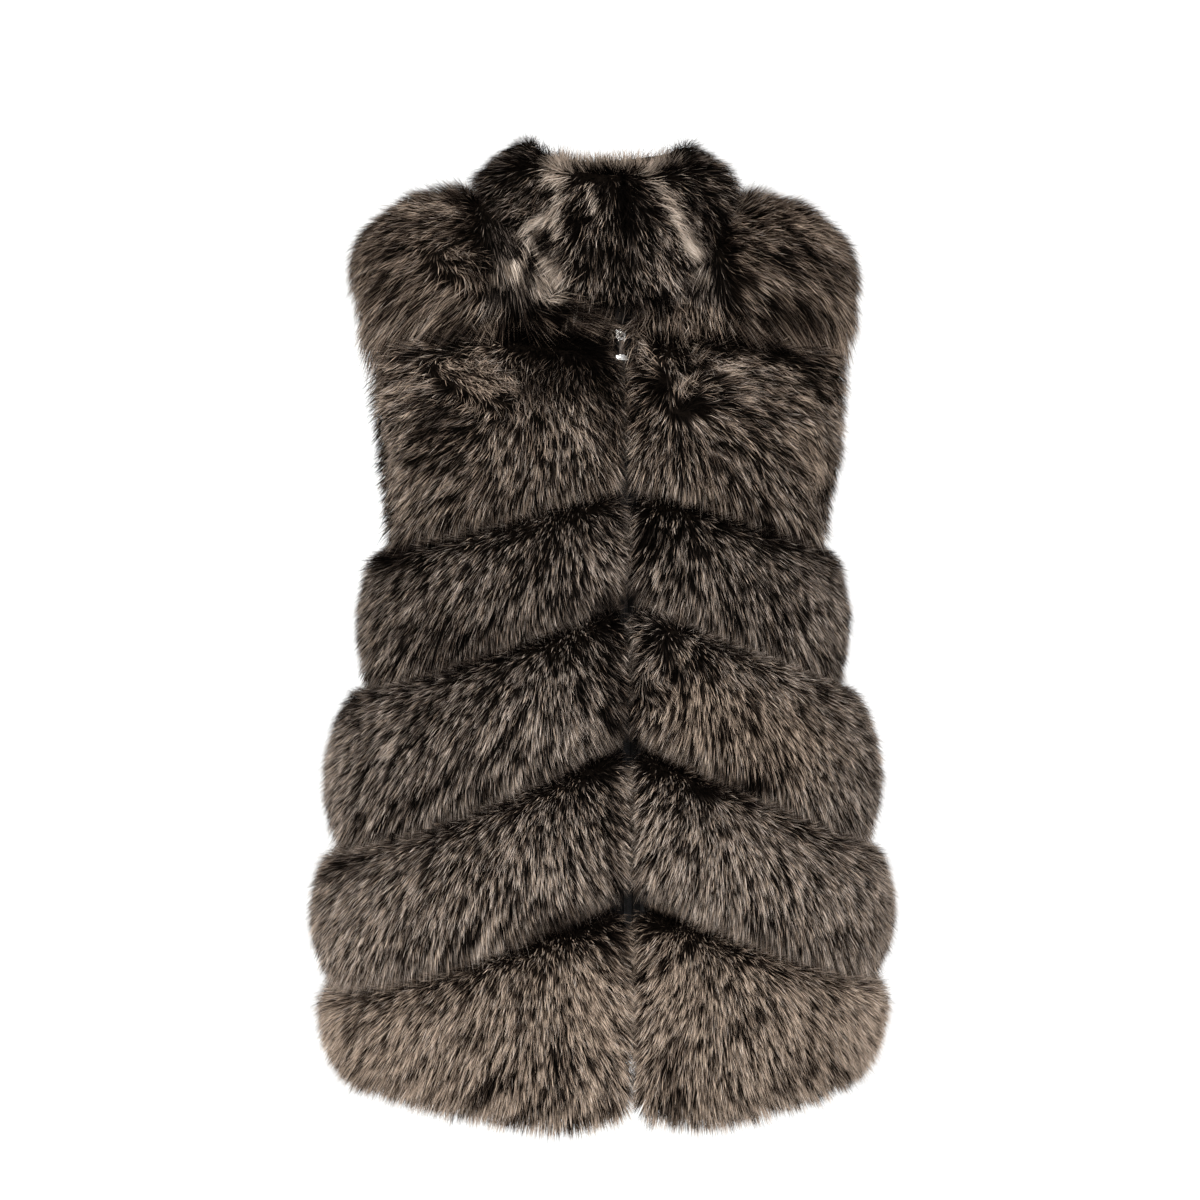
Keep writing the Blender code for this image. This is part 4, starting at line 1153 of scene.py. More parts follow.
def strand_sizes(coat, tuft_length, down, fringe, coarse, rng):
    """Lengths and widths of hairs, and which are slivers."""
    count = len(down)
    length = coat.length * (1 + TUFT_LENGTH * tuft_length) * rng.uniform(*LENGTHS, count)
    length *= 1 + fringe * smoothstep(*FRINGE_ROWS, down)
    length *= TOP_SHORT + (1 - TOP_SHORT) * smoothstep(0.0, TOP_ROW, down)
    width = HAIR_WIDTH * coarse * rng.uniform(*WIDTHS, count)
    fine = rng.random(count) < FINE_SHARE
    length = np.where(fine, length * SLIVER_LENGTH, length)
    wisp = fine & (rng.random(count) < WISP_SHARE)
    length = np.where(wisp, length * WISP_LENGTH, length)
    width = np.where(wisp, width * WISP_WIDTH, width)
    return length, width, fine


def own_tones(coat, roots, seen, tuft_tone, rng, seed):
    """Tones and kinds of hairs, seen at these places across and along the flow."""
    points, facing_up = roots["points"], roots["normals"][:, 2]
    # a strip's top is mostly darker: partly darker roots, partly painted shadow of the strip above
    tone = coat.tone_top + (coat.tone_low - coat.tone_top) * smoothstep(*TONE_ROWS, roots["down"])
    (patch, patch_size), (lock, lock_size) = TONE_PATCHES, TONE_LOCKS
    tone += patch * noise(points, patch_size, seed + 21) + lock * noise(seen, (*lock_size, 1.0), seed + 22)
    # painted shade: hairs in the gaps between tufts are darkened
    gaps = smoothstep(*GAP_STARTS, noise(seen, (*GAP_SIZE, 1.0), seed + 23))
    tone += TUFT_TONE * tuft_tone - GAP_PAINTED_SHADE * gaps + rng.normal(0.0, TONE_STRAY, len(tone))
    chance = rng.random(len(tone)) + FLECK_SHARE * noise(seen, (*FLECK_SIZE, 1.0), seed + 24)
    tone += np.where(chance < coat.dark, DARK_HAIR, 0.0)
    tone += np.where(chance > 1 - PALE_HAIRS[0], PALE_HAIRS[1], 0.0)
    # painted shade on the hair at rims that face up
    tone -= UP_RIM_PAINTED_SHADE * smoothstep(*RIM_FACING, facing_up)
    return tone, np.where(rng.random(len(tone)) < coat.brown, BROWN, GREY)


def streaked_tones(tone, kind, seen, normals, rng):
    """Tones and kinds after the streaks, of hairs that the camera sees at these points."""
    pixels = in_photo(seen)
    facing = smoothstep(*SEEN_FACING, -(normals @ camera_frame()[1]))
    for streak in STREAKS:
        share = near_route(pixels, streak.route, streak.width)[0] * facing
        tone += streak.change * share
        if streak.kind is not None:
            chosen = rng.random(len(tone)) < KIND_SHARE * share
            kind = np.where(chosen, streak.kind, kind)
            if streak.kind == PALE:
                tone = np.where(chosen, np.maximum(tone, UNDERFUR_TONE), tone)
    return tone, kind


def coat_hairs(roots, coat, lean, rng, seed, streaked, fringe=0.0, coarse=1.0):
    """Directions, lengths and tones of hairs, and the tuft that each belongs to."""
    points, normals, down = roots["points"], roots["normals"], roots["down"]
    count = len(points)
    for number, (degrees, size) in enumerate(LEAN_WAVES):
        lean = lean + degrees * noise(points, size, seed + 11 + number)
    lean = np.radians(lean)
    smooth_lean = lean
    course = np.round(lean / COURSE_STEP + rng.uniform(-0.5, 0.5, count))
    turned = course * COURSE_STEP
    side = roots["along_m"] * np.cos(turned) - roots["down_m"] * np.sin(turned)
    along = roots["along_m"] * np.sin(turned) + roots["down_m"] * np.cos(turned)
    member, cells = tufts(side, along, course, seed)
    tuft = {name: lattice(cells, seed + number) * 2 - 1
            for number, name in enumerate(("lean", "lift", "tone", "length"))}
    lean = lean + np.radians(TUFT_LEAN * tuft["lean"] + rng.normal(0.0, coat.stray, count))
    stray = lean - smooth_lean
    flow = roots["way_down"] * np.cos(lean)[:, None] + roots["way_along"] * np.sin(lean)[:, None]

    facing_down = -normals[:, 2]
    lift = coat.lift + np.interp(down, LIFT_PLACES, LIFT_ADDED)
    lift += TUFT_LIFT * tuft["lift"] + rng.normal(0.0, LIFT_STRAY, count)
    below, above = FACING_LIFT
    lift += np.where(facing_down > 0, below * facing_down ** 2, above * facing_down ** 2)
    lift = np.radians(lift)
    way = unit(flow * np.cos(lift)[:, None] + normals * np.sin(lift)[:, None])

    length, width, fine = strand_sizes(coat, tuft["length"], down, fringe, coarse, rng)
    reach = SEEN_SHARE * length * np.cos(lift)
    seen = with_zero(side + reach * np.sin(stray), along + reach * np.cos(stray))
    tone, kind = own_tones(coat, roots, seen, tuft["tone"], rng, seed)
    if streaked:
        tone, kind = streaked_tones(tone, kind, points + way * (SEEN_SHARE * length)[:, None], normals, rng)
    roll = np.radians(rng.normal(0.0, ROLL_STRAY, count))
    droop = DROOP * (1 + rng.random(count))
    return Hairs(points, way, normals, length, width, roll, droop, kind, tone, fine), member


def off_the_torso(points, roots):
    """Points of hairs, drawn back towards their roots where they lie inside the torso."""
    share, times = DRAWN_BACK
    for _ in range(times):
        x, y, z = points.T
        depth = np.where(y < 0, figure("front", z), figure("behind", z))
        inside = (z < 0) & (np.hypot(x / figure("half_width", z), y / depth) < SKIN_CLEAR)
        points = points + (roots - points) * (share * inside)[:, None]
    return points


def part_at_zip(middle, tip, side):
    """Moves a front's hairs to its own side of the zip, and most of them clear of the pull."""
    scatter = lattice(np.floor(tip * SCATTER_CELLS), SCATTER_SEED)
    clear = ZIP_CLEAR[0] + (ZIP_CLEAR[1] - ZIP_CLEAR[0]) * scatter
    low, high = PULL_CLEAR_Z
    at_pull = (tip[:, 2] > low) & (tip[:, 2] < high) & (scatter > PULL_STRAYS)
    clear = np.where(at_pull, PULL_CLEAR, clear)
    for points in (tip, middle):
        points[:, 0] = side * np.maximum(side * points[:, 0], clear)


def hair_mesh(name, hairs, member, gather, zip_side=0):
    """The hairs as one mesh; tips lean towards the middle of their tuft. A front's hairs, on
    side 1 or -1 of the zip, are parted there, and all others stay outside the torso.
    """
    side = unit(np.cross(hairs.way, hairs.normal))
    over = np.cross(side, hairs.way)
    side = side * np.cos(hairs.roll)[:, None] + over * np.sin(hairs.roll)[:, None]
    bend = unit(hairs.way + GRAVITY * hairs.droop[:, None])
    middle = hairs.root + hairs.way * (MIDDLE * hairs.length)[:, None]
    tip = middle + bend * ((1 - MIDDLE) * hairs.length)[:, None]
    size = np.bincount(member)
    for axis in range(3):
        pull = np.bincount(member, tip[:, axis]) / size
        shift = gather * (pull[member] - tip[:, axis])
        tip[:, axis] += shift
        middle[:, axis] += MIDDLE_FOLLOWS * shift
    if zip_side:
        part_at_zip(middle, tip, zip_side)
    else:
        middle, tip = off_the_torso(middle, hairs.root), off_the_torso(tip, hairs.root)
    half = side * (hairs.width / 2)[:, None]
    root = hairs.root - hairs.normal * ROOT_SINK
    place = (hairs.kind + np.clip(hairs.tone, *TONES)) / KINDS
    parts = []
    for chosen, corners, faces in (
            (~hairs.fine, ((root, 0.0, 0.0), (middle - half, -0.5, MIDDLE), (middle + half, 0.5, MIDDLE),
                           (tip, 0.0, 1.0)), ((0, 2, 1), (1, 2, 3))),
            (hairs.fine, ((root - half * SLIVER_WIDTH, -0.5, 0.0), (root + half * SLIVER_WIDTH, 0.5, 0.0),
                          (tip, 0.0, 1.0)), ((0, 1, 2),))):
        vertices = np.stack([points[chosen] for points, _, _ in corners], axis=1)
        uvs = np.stack([np.stack([place[chosen] + across * UV_SLIVER, np.full(chosen.sum(), along)], axis=-1)
                        for _, across, along in corners], axis=1)
        first = np.arange(chosen.sum())[:, None, None] * len(corners)
        parts.append((vertices.reshape(-1, 3), uvs.reshape(-1, 2), (first + np.array(faces)).reshape(-1, 3)))
    (blades, blade_uvs, blade_faces), (slivers, sliver_uvs, sliver_faces) = parts
    return add_mesh(name, np.concatenate([blades, slivers]),
                    np.concatenate([blade_faces, sliver_faces + len(blades)]),
                    np.concatenate([blade_uvs, sliver_uvs]))


# ------------------------------------------------------------------ leather and fur of the body
DENSITY = 790_000             # hairs per square metre of form
DENSITY_BACK = 270_000
BACK_COARSE = 1.5             # width of the back's hairs, with fewer of them
DENSITY_COLLAR = 600_000
SEEDS = {"left_front": 100, "right_front": 137, "back": 61}
STRIP_SEEDS = 100             # between a strip's seed and the next strip's
FRINGE = 0.40                 # how much longer the hair is at a strip's lower edge
HEM_FRINGE = 0.10
BACK_TURN = 0.1               # share of the half back in which the hair turns from side to side


def strip_form(number, front):
    """Inner grid and the dark form's outer grid of a strip, of a front half or the whole back."""
    points, normals = panel_grid(front)
    inner, outer = fur_strip(points, normals, number, front)
    steps_down = np.linalg.norm(np.diff(inner, axis=0), axis=-1).mean(axis=1)
    steps_across = np.linalg.norm(np.diff(inner, axis=1), axis=-1).mean(axis=0)
    at_arm = number < ARM_STRIPS
    rows = inset_places(steps_down, 0.0 if number == YOKE else FORM_INSET,
                        2 * FORM_INSET if number == HEM else FORM_INSET)
    columns = inset_places(steps_across, FORM_INSET if front else 0.0, 2 * FORM_INSET if at_arm else 0.0)
    base = drawn(inner, rows, columns)
    form = base + (outer - inner) * FORM_SHARE
    if front:
        return base, form
    return whole_back(base), whole_back(form)


def turf_on(grids, top, first, last, whole=False):
    """The turf of a half or whole strip's form, with rims at its top and at its ends."""
    inner, form = grids
    control, down, across = framed(inner, form, top=top, first=first, last=last)
    if whole:
        across = across * 2 - 1
    return Turf(control, down, across, np.array([0.0, 0.0, form[..., 2].mean()]))


def build_strips():
    """The dark forms and hairs of all strips. Returns the pieces of each panel."""
    made = {"left_front": [], "right_front": [], "back": []}
    for number, coat in enumerate(COATS):
        fringe = HEM_FRINGE if number == HEM else FRINGE
        top, at_arm = number != YOKE, number < ARM_STRIPS
        grids = strip_form(number, True)
        turf = turf_on(grids, top, True, at_arm)
        for panel, turn, ground in (("left_front", lambda grid: grid, turf),
                                    ("right_front", mirrored, turf.mirrored())):
            shape = wall_mesh(*(turn(refined(grid, FORM_STEPS)) for grid in grids))
            made[panel] += add_coat(panel, number, shape, ground, coat, fringe)

        grids = strip_form(number, False)
        turf = turf_on(grids, top, at_arm, at_arm, whole=True)
        turf.way_along = turf.way_along * np.clip(turf.across / BACK_TURN, -1.0, 1.0)[..., None]
        shape = wall_mesh(*(refined(grid, FORM_STEPS) for grid in grids))
        made["back"] += add_coat("back", number, shape, turf, coat, fringe)
    return made


# The yoke's lowest hair hangs over the arm below these rows and past these places across, and
# over the strip below from the second rows on.
ARM_FALL_ROWS = (0.55, 0.80)
ARM_FALL_ACROSS = (0.25, 0.60)
ARM_FALL_LEAN = math.radians(38.0)
ARM_FALL_LIFT = 0.30
ARM_FALL_TURN = 0.5           # share of the way that hair turns to this fall
ARM_FALL_LONGER = 0.50
ARM_FALL_DARK = 0.06
YOKE_FALL_ROWS = (0.66, 0.86)
YOKE_FALL_FLAT = 0.25
YOKE_FALL_LONGER = (0.25, 0.75)   # on average, and how much more or less in places
FRINGE_SIZE = 0.013           # of the places where a fringe is longer or shorter

# The chest's highest hair stands up above these rows, as far as these places across and where
# the noise is above these values.
STAND_ROWS = (0.02, 0.14)
STAND_ACROSS = (0.5, 0.8)
STAND_NOISE = (-0.3, 0.2)
STAND_RISE = 1.1
STAND_LONGER = 0.7

# On the yoke the collar's hair hangs over the shoulder as far as these distances from the middle.
COLLAR_FALL = {-1: 0.112, 1: 0.085}
COLLAR_FALL_Z = (-0.085, -0.060)
COLLAR_FALL_BLEND = 0.004
COLLAR_FALL_LIFT = 0.75
COLLAR_FALL_DARK = 0.10
PARTING_WIDTH = 0.006
PARTING_DARK = 0.22
FRINGE_SEED = 31                # between a strip's seed and that of its fringe


def over_the_arm(hairs, roots, seed):
    """The yoke's lowest hairs are long and smooth and hang over the strip below."""
    at_arm = smoothstep(*ARM_FALL_ACROSS, np.abs(roots["across"]))
    share = smoothstep(*ARM_FALL_ROWS, roots["down"]) * at_arm
    rest = smoothstep(*YOKE_FALL_ROWS, roots["down"]) * (1 - share)
    flow = roots["way_down"] * math.cos(ARM_FALL_LEAN) + roots["way_along"] * math.sin(ARM_FALL_LEAN)
    low = unit(flow + hairs.normal * ARM_FALL_LIFT)
    turned = (ARM_FALL_TURN * share)[:, None]
    way = unit(hairs.way * (1 - turned) + low * turned)
    flat = (YOKE_FALL_FLAT * rest)[:, None]
    way = unit(way - flat * hairs.normal * np.einsum("ij,ij->i", way, hairs.normal)[:, None])
    mean, change = YOKE_FALL_LONGER
    ragged = mean + change * noise(hairs.root, FRINGE_SIZE, seed)
    return hairs._replace(way=way, length=hairs.length * (1 + ARM_FALL_LONGER * share + ragged * rest),
                          tone=hairs.tone - ARM_FALL_DARK * share)


def over_the_groove(hairs, roots, seed):
    """The chest's highest hairs stand up in places, in front of the groove above them."""
    share = 1 - smoothstep(*STAND_ROWS, roots["down"])
    places = smoothstep(*STAND_NOISE, noise(hairs.root, FRINGE_SIZE, seed))
    share *= places * (1 - smoothstep(*STAND_ACROSS, roots["across"]))
    way = unit(hairs.way - GRAVITY * (STAND_RISE * share)[:, None])
    return hairs._replace(way=way, length=hairs.length * (1 + STAND_LONGER * share),
                          droop=hairs.droop * (1 - share))


def beside_collar(hairs):
    """Yoke hairs beside the collar lie and look as the collar's do, up to a dark parting."""
    x, z = hairs.root[:, 0], hairs.root[:, 2]
    edge = np.where(x < 0, COLLAR_FALL[-1], COLLAR_FALL[1])
    high = smoothstep(*COLLAR_FALL_Z, z)
    inside = (1 - smoothstep(edge - COLLAR_FALL_BLEND, edge + COLLAR_FALL_BLEND, np.abs(x))) * high
    down = unit(GRAVITY + hairs.normal * COLLAR_FALL_LIFT)
    way = unit(hairs.way * (1 - inside)[:, None] + down * inside[:, None])
    line = np.exp(-((np.abs(x) - edge) / PARTING_WIDTH) ** 2) * high
    tone = hairs.tone - COLLAR_FALL_DARK * inside - PARTING_DARK * line
    kind = np.where((inside > 0.5) & (hairs.kind == BROWN), GREY, hairs.kind)
    return hairs._replace(way=way, tone=tone, kind=kind)


def add_coat(panel, number, shape, turf, coat, fringe):
    """One strip's dark form and its hairs."""
    node = f"{panel}_fur_{number + 1}"
    front = panel != "back"
    form = add_mesh(f"{panel}_underfur_{number + 1}", *shape)
    dress(form, FORM, nodes=(node,))
    seed = SEEDS[panel] + STRIP_SEEDS * number
    rng = np.random.default_rng(seed)
    roots = turf.sample(DENSITY if front else DENSITY_BACK, rng)
    lean = front_lean(coat, roots) if front else back_lean(coat, roots)
    coarse = 1.0 if front else BACK_COARSE
    hairs, member = coat_hairs(roots, coat, lean, rng, seed, front, fringe, coarse)
    if front and number == CHEST:
        hairs = over_the_groove(hairs, roots, seed + FRINGE_SEED)
    if number == YOKE:
        hairs = over_the_arm(hairs, roots, seed + FRINGE_SEED)
        hairs = beside_collar(hairs) if front else hairs
    zip_side = {"left_front": 1, "right_front": -1, "back": 0}[panel]
    hair = hair_mesh(f"{panel}_hair_{number + 1}", hairs, member, coat.gather, zip_side)
    dress(hair, HAIR, nodes=(node,))
    return [form, hair]


def build_leather():
    """The leather fronts and back, cut to the panels' shapes."""
    grids = {"left_front": panel_grid(True), "back": panel_grid(False)}
    grids["right_front"] = tuple(mirrored(grid) for grid in grids["left_front"])
    grids["back"] = tuple(whole_back(grid) for grid in grids["back"])
    for panel, (points, normals) in grids.items():
        name = f"{panel}_leather"
        piece = add_wall(f"{name}_skin", refined(points, 2), refined(points + normals * LEATHER, 2))
        dress(piece, LEATHER_SKIN, nodes=(name,))


# ------------------------------------------------------------------ collar
COLLAR_SEEDS = {"left": 501, "right": 502, "back": 503}
CREST_ROW = 0.20              # above this row a share of the hairs is pale
CREST_SHARE = 0.55
CREST_ACROSS = 0.45           # how far the back's pale crest reaches from its middle
CREST_TONE = 0.66
CREST_STRAY = 0.10
STANDING_ROWS = (0.10, 0.26)  # where the front ends' upright hair goes over into hanging hair
STANDING_LIFT = 0.35
SHORT_ABOVE = 0.4             # above this row the hair gets shorter, by the next share at most
SHORTER = 0.35
ENDS_DARK = 0.08              # how much darker the front ends are at the zip
ENDS_ACROSS = (0.0, 0.5)
CENTRE_STRAY = 24             # degrees over which hairs stray at the zip, nearer than the next place
CENTRE_ACROSS = 0.2


def build_collar():
    """The leather stand, and the fur's forms and hairs in three stretches."""
    (back_face, face), sections = collar_sections()

    def all_round(grid):
        return np.concatenate([grid, mirrored(grid)[:, -2::-1]], axis=1)

    stand = add_wall("collar_leather_skin", refined(all_round(back_face), 3), refined(all_round(face), 3))
    dress(stand, LEATHER_SKIN, nodes=("collar_leather",))

    furs = []
    ends = sections[:, :COLLAR_PARTING + 1]
    whole = all_round(sections[:, COLLAR_PARTING:])
    for side, grid in (("left", ends), ("right", mirrored(ends)), ("back", whole)):
        furs += collar_stretch(side, grid, COLLAR_SEEDS[side])


def crested(hairs, roots, at_back, rng):
    """The collar's hairs, paler and shorter at the crest, where the front ends' stand upright."""
    across, down = roots["across"], roots["down"]
    reached = across < CREST_ACROSS if at_back else across >= 0.0
    at_crest = (down < CREST_ROW) & (rng.random(len(down)) < CREST_SHARE) & reached
    near = 1.0 if at_back else smoothstep(*ENDS_ACROSS, across)
    tone = hairs.tone - ENDS_DARK * (1 - near)
    tone = np.where(at_crest, CREST_TONE + rng.normal(0.0, CREST_STRAY, len(tone)), tone)
    standing = (0.0 if at_back else 1.0) * (1 - smoothstep(*STANDING_ROWS, down))
    upright = STANDING_LIFT * hairs.normal - GRAVITY
    way = unit(hairs.way * (1 - standing)[:, None] + upright * standing[:, None])
    length = hairs.length * (1 - SHORTER * (1 - smoothstep(0.0, SHORT_ABOVE, down)) * (1 - standing))
    return hairs._replace(kind=np.where(at_crest, PALE, hairs.kind), tone=tone, length=length, way=way,
                          droop=hairs.droop * (1 - standing))


def collar_stretch(side, grid, seed):
    """Form and hairs of a stretch of collar fur; grid rows run from the lip down to the foot."""
    nodes = (f"collar_fur_{side}",)
    lip, foot = grid[:1], grid[-1:]
    share = np.linspace(0.0, 1.0, grid.shape[0])[:, None, None]
    spine = lip + (foot - lip) * share
    form = spine + (grid - spine) * FORM_SHARE
    shape = wall_mesh(refined(spine, FORM_STEPS), refined(form, FORM_STEPS))
    under = add_mesh(f"collar_underfur_{side}", *shape)
    dress(under, FORM, nodes=nodes)

    control, down, across = framed(spine, form, top=False, bottom=False, first=True, last=True)
    turf = Turf(control, down, across, spine.mean(axis=(0, 1)))
    rng = np.random.default_rng(seed)
    roots = turf.sample(DENSITY_COLLAR, rng)
    at_back = side == "back"
    if at_back:
        roots["across"] = np.abs(roots["across"] * 2 - 1)
        coat, lean = COLLAR_REST, np.zeros(len(roots["down"]))
    else:
        coat = COLLAR_FRONT
        lean = np.interp(roots["across"], LEAN_PLACES, coat.leans)
        strays = roots["across"] < CENTRE_ACROSS
        lean = lean + CENTRE_STRAY * (rng.random(len(lean)) - 0.5) * strays
    hairs, member = coat_hairs(roots, coat, combed(roots, lean), rng, seed, True)
    hair = hair_mesh(f"collar_hair_{side}", crested(hairs, roots, at_back, rng), member, coat.gather)
    dress(hair, HAIR, nodes=nodes)
    return [under, hair]


# ------------------------------------------------------------------ zip
TOOTH_PITCH = 0.0017
TOOTH_SIZE = (0.0031, 0.0013, 0.0011)    # width across the chain, height and length along it
TOOTH_CORNER = 0.0004
TOOTH_BEVEL = 0.0003
TOOTH_X = 0.00135             # its middle's distance from the middle of the chain
TOOTH_SLANT = math.radians(7.0)
TAPE_ROWS = 160
TAPE_COLUMNS = 5

SLIDER_SIZE = (0.0090, 0.0016, 0.0110)   # width, gauge and length of its plates
SLIDER_CORNER = 0.0024
SLIDER_BEVEL = 0.00045
SLIDER_TAPER = 0.14
PLATES_APART = 0.0047
POST_SIZE = (0.0024, 0.0018)
POST_CORNER = 0.0005
POST_BEVEL = 0.0001
POST_UP = 0.0044              # above the slider's middle
BAIL_HALF_WIDTH = 0.0014
BAIL_GAUGE = 0.0010
BAIL_OUT = 0.0004             # from the front plate to the middle of the bail's arch
BAIL_RADII = (0.0048, 0.0030) # out of the chest and along the zip
BAIL_STEPS = 21
BAIL_PAST = 0.5               # radians that the arch goes on past its ends

RING_SIZE = (0.0080, 0.0095, 0.0014)     # width, length and wire
STRAP_SIZE = (0.0045, 0.0018, 0.0140)    # width, gauge and length, as are the next
STRAP_CORNER = 0.0009
STRAP_BEVEL = 0.0004
BAR_SIZE = (0.0114, 0.0028, 0.0046)
BAR_CORNER = 0.0011
BAR_BEVEL = 0.0005
BAR_TILT = math.radians(-5.0)
LIP_SIZE = (0.0052, 0.0012)   # the raised lip on the bar, where the strap goes in
LIP_CORNER = 0.0005
LIP_PROUD = 0.0003
LIP_UP = 0.0022               # above the bar's middle
STITCH_SIZE = (0.00028, 0.0003, 0.0012)
STITCH_CORNER = 0.00013
STITCH_BEVEL = 0.0001
STITCHES = 6                  # in each of two rows
STITCH_X = 0.0016
STITCH_PITCH = 0.0019
STITCH_FIRST = 0.0050         # above the strap's middle
RING_MIDDLE = -0.00405        # below the hinge, as are the next two
STRAP_MIDDLE = -0.01380
BAR_MIDDLE = -0.02190
BEVEL_STEP = 0.3              # where a plate's bevel has its middle edge
BAND_EDGES = (0.55, 0.8)      # how square a swept band's edges are, across and through it


def centre_frame(z):
    """Point on the centre front with its outward and upward directions in the YZ plane."""
    point, normal = torso_skin(np.zeros(1), np.array([z]), front=True)
    out = normal[0]
    return point[0], out, np.array([0.0, out[2], -out[1]])


def zip_band(first_x, last_x, top_z, sink, gauge, rows):
    """Inner and outer grid of a band that follows the centre front between two distances."""
    z = np.linspace(top_z, ZIP_BOTTOM_Z, rows)
    x = np.linspace(first_x, last_x, TAPE_COLUMNS)
    angles = np.arcsin(x[None, :] / figure("half_width", z)[:, None])
    points, normals = torso_skin(angles, z[:, None] * np.ones(len(x)), front=True)
    outer = points - normals * sink
    return outer - normals * gauge, outer


def rounded(width, length, radius, steps=4):
    """Outline of a rectangle with round corners, about its centre."""
    turn = np.radians(np.linspace(0.0, 90.0, steps + 1))
    corners = []
    for quarter, (x, z) in enumerate(((1, 1), (-1, 1), (-1, -1), (1, -1))):
        spin = turn + quarter * math.pi / 2
        corners += [(x * (width / 2 - radius) + radius * math.cos(t),
                     z * (length / 2 - radius) + radius * math.sin(t)) for t in spin]
    return np.array(corners)


def plate(outline, levels):
    """Points and triangles of a plate; each level is a place and how far its edge is drawn in."""
    reach = np.abs(outline).max(axis=0)
    rings = []
    for level, inset in levels:
        ring = outline * (1.0 - inset / reach)
        rings.append(np.stack([ring[:, 0], np.full(len(ring), level), ring[:, 1]], axis=-1))
    return loft(rings)


def slab(outline, gauge, bevel, taper=0.0):
    """A plate with bevelled faces; taper narrows its lower end."""
    narrow = 1.0 + taper * outline[:, 1] / np.abs(outline[:, 1]).max()
    shape = outline * np.stack([narrow, np.ones(len(outline))], axis=-1)
    half, edge = 0.5 * gauge, BEVEL_STEP * bevel
    return plate(shape, ((-half, bevel), (-half + edge, edge), (bevel - half, 0.0),
                         (half - bevel, 0.0), (half - edge, edge), (half, bevel)))


def peg(outline, gauge, bevel):
    """A small plate whose front edges alone are bevelled."""
    half = gauge / 2
    return plate(outline, ((-half, 0.0), (half - bevel, 0.0), (half, bevel)))


def loft(rings):
    """Points and triangles of a closed solid through loops of points, with flat ends."""
    count, total = len(rings[0]), len(rings)
    index = np.arange(total * count).reshape(total, count)
    near, far = index[:-1], index[1:]
    around = quads(near, np.roll(near, -1, axis=1), np.roll(far, -1, axis=1), far)
    fan = np.arange(1, count - 1)
    first_end = np.stack([np.zeros_like(fan), fan + 1, fan], axis=-1)
    last_end = np.stack([np.zeros_like(fan), fan, fan + 1], axis=-1) + (total - 1) * count
    return facing_out(np.concatenate(rings), np.concatenate([around, first_end, last_end]))


def swept(path, half_width, gauge, sides=12):
    """A flat band with round edges along a path in out and up."""
    path = np.array(path)
    way = unit(np.gradient(path, axis=0))
    normal = np.stack([-way[:, 1], way[:, 0]], axis=-1)
    spin = np.linspace(0.0, 2 * math.pi, sides, endpoint=False)
    across = half_width * np.sign(np.cos(spin)) * np.abs(np.cos(spin)) ** BAND_EDGES[0]
    thick = gauge / 2 * np.sign(np.sin(spin)) * np.abs(np.sin(spin)) ** BAND_EDGES[1]
    return loft([np.stack([across, place[0] + n[0] * thick, place[1] + n[1] * thick], axis=-1)
                 for place, n in zip(path, normal)])


def placed(shape, centre, place, turn=0.0):
    """A shape in width, out and up set at a place of the centre front, turned about `out`."""
    point, out, upward = place
    corners = shape + 0.0
    cos, sin = math.cos(turn), math.sin(turn)
    corners[:, 0] = shape[:, 0] * cos - shape[:, 2] * sin
    corners[:, 2] = shape[:, 0] * sin + shape[:, 2] * cos
    corners = corners + np.array(centre)
    across = np.array([1.0, 0.0, 0.0])
    return point + corners[:, :1] * across + corners[:, 1:2] * out + corners[:, 2:] * upward


def joined(parts):
    """One mesh's points and triangles from several."""
    vertices, faces, start = [], [], 0
    for corners, triangles in parts:
        vertices.append(corners)
        faces.append(triangles + start)
        start += len(corners)
    return np.concatenate(vertices), np.concatenate(faces)


def ring_shape(width, length, wire, around=28, section=10):
    """An oval ring of round wire about its centre, in width, out and up."""
    turn = np.linspace(0.0, 2 * math.pi, around, endpoint=False)
    spin = np.linspace(0.0, 2 * math.pi, section, endpoint=False)
    radius = np.array([(width - wire) / 2, 0.0, (length - wire) / 2])
    centre = np.stack([np.cos(turn), np.zeros(around), np.sin(turn)], axis=-1)
    outward = unit(centre / np.array([radius[0], 1.0, radius[2]]))
    line = centre * radius
    points = (line[:, None] + wire / 2 * (outward[:, None] * np.cos(spin)[None, :, None]
                                         + np.array([0.0, 1.0, 0.0]) * np.sin(spin)[None, :, None]))
    index = np.arange(around * section).reshape(around, section)
    after = np.roll(index, -1, axis=0)
    faces = quads(index, after, np.roll(after, -1, axis=1), np.roll(index, -1, axis=1))
    return points.reshape(-1, 3), faces


def build_zip():
    """Woven tapes, coil teeth, slider with its bail, and the pull's ring, strap and end bar."""
    inner, outer = zip_band(CHAIN_HALF_WIDTH + SEAM_GAP, TAPE_REACH, TAPE_TOP_Z, TAPE_SINK, TAPE_GAUGE,
                            TAPE_ROWS)
    for side, turn in (("left", lambda grid: grid), ("right", mirrored)):
        tape = add_wall(f"zip_tape_weave_{side}", turn(inner), turn(outer))
        dress(tape, TAPE, nodes=(f"zip_tape_{side}",))

    width, height, length = TOOTH_SIZE
    tooth, faces = peg(rounded(width, length, TOOTH_CORNER, 1), height, TOOTH_BEVEL)
    parts = []
    for number in range(int((CHAIN_TOP_Z - ZIP_BOTTOM_Z) / TOOTH_PITCH)):
        place = centre_frame(CHAIN_TOP_Z - (number + 0.5) * TOOTH_PITCH)
        for side in (-1, 1):
            centre = (side * TOOTH_X, CHAIN_PROUD - height / 2, side * TOOTH_PITCH / 4)
            parts.append((placed(tooth, centre, place, side * TOOTH_SLANT), faces))
    dress(add_mesh("zip_coil_teeth", *joined(parts)), COIL, nodes=("zip_chain",))
    build_slider()
    build_pull()


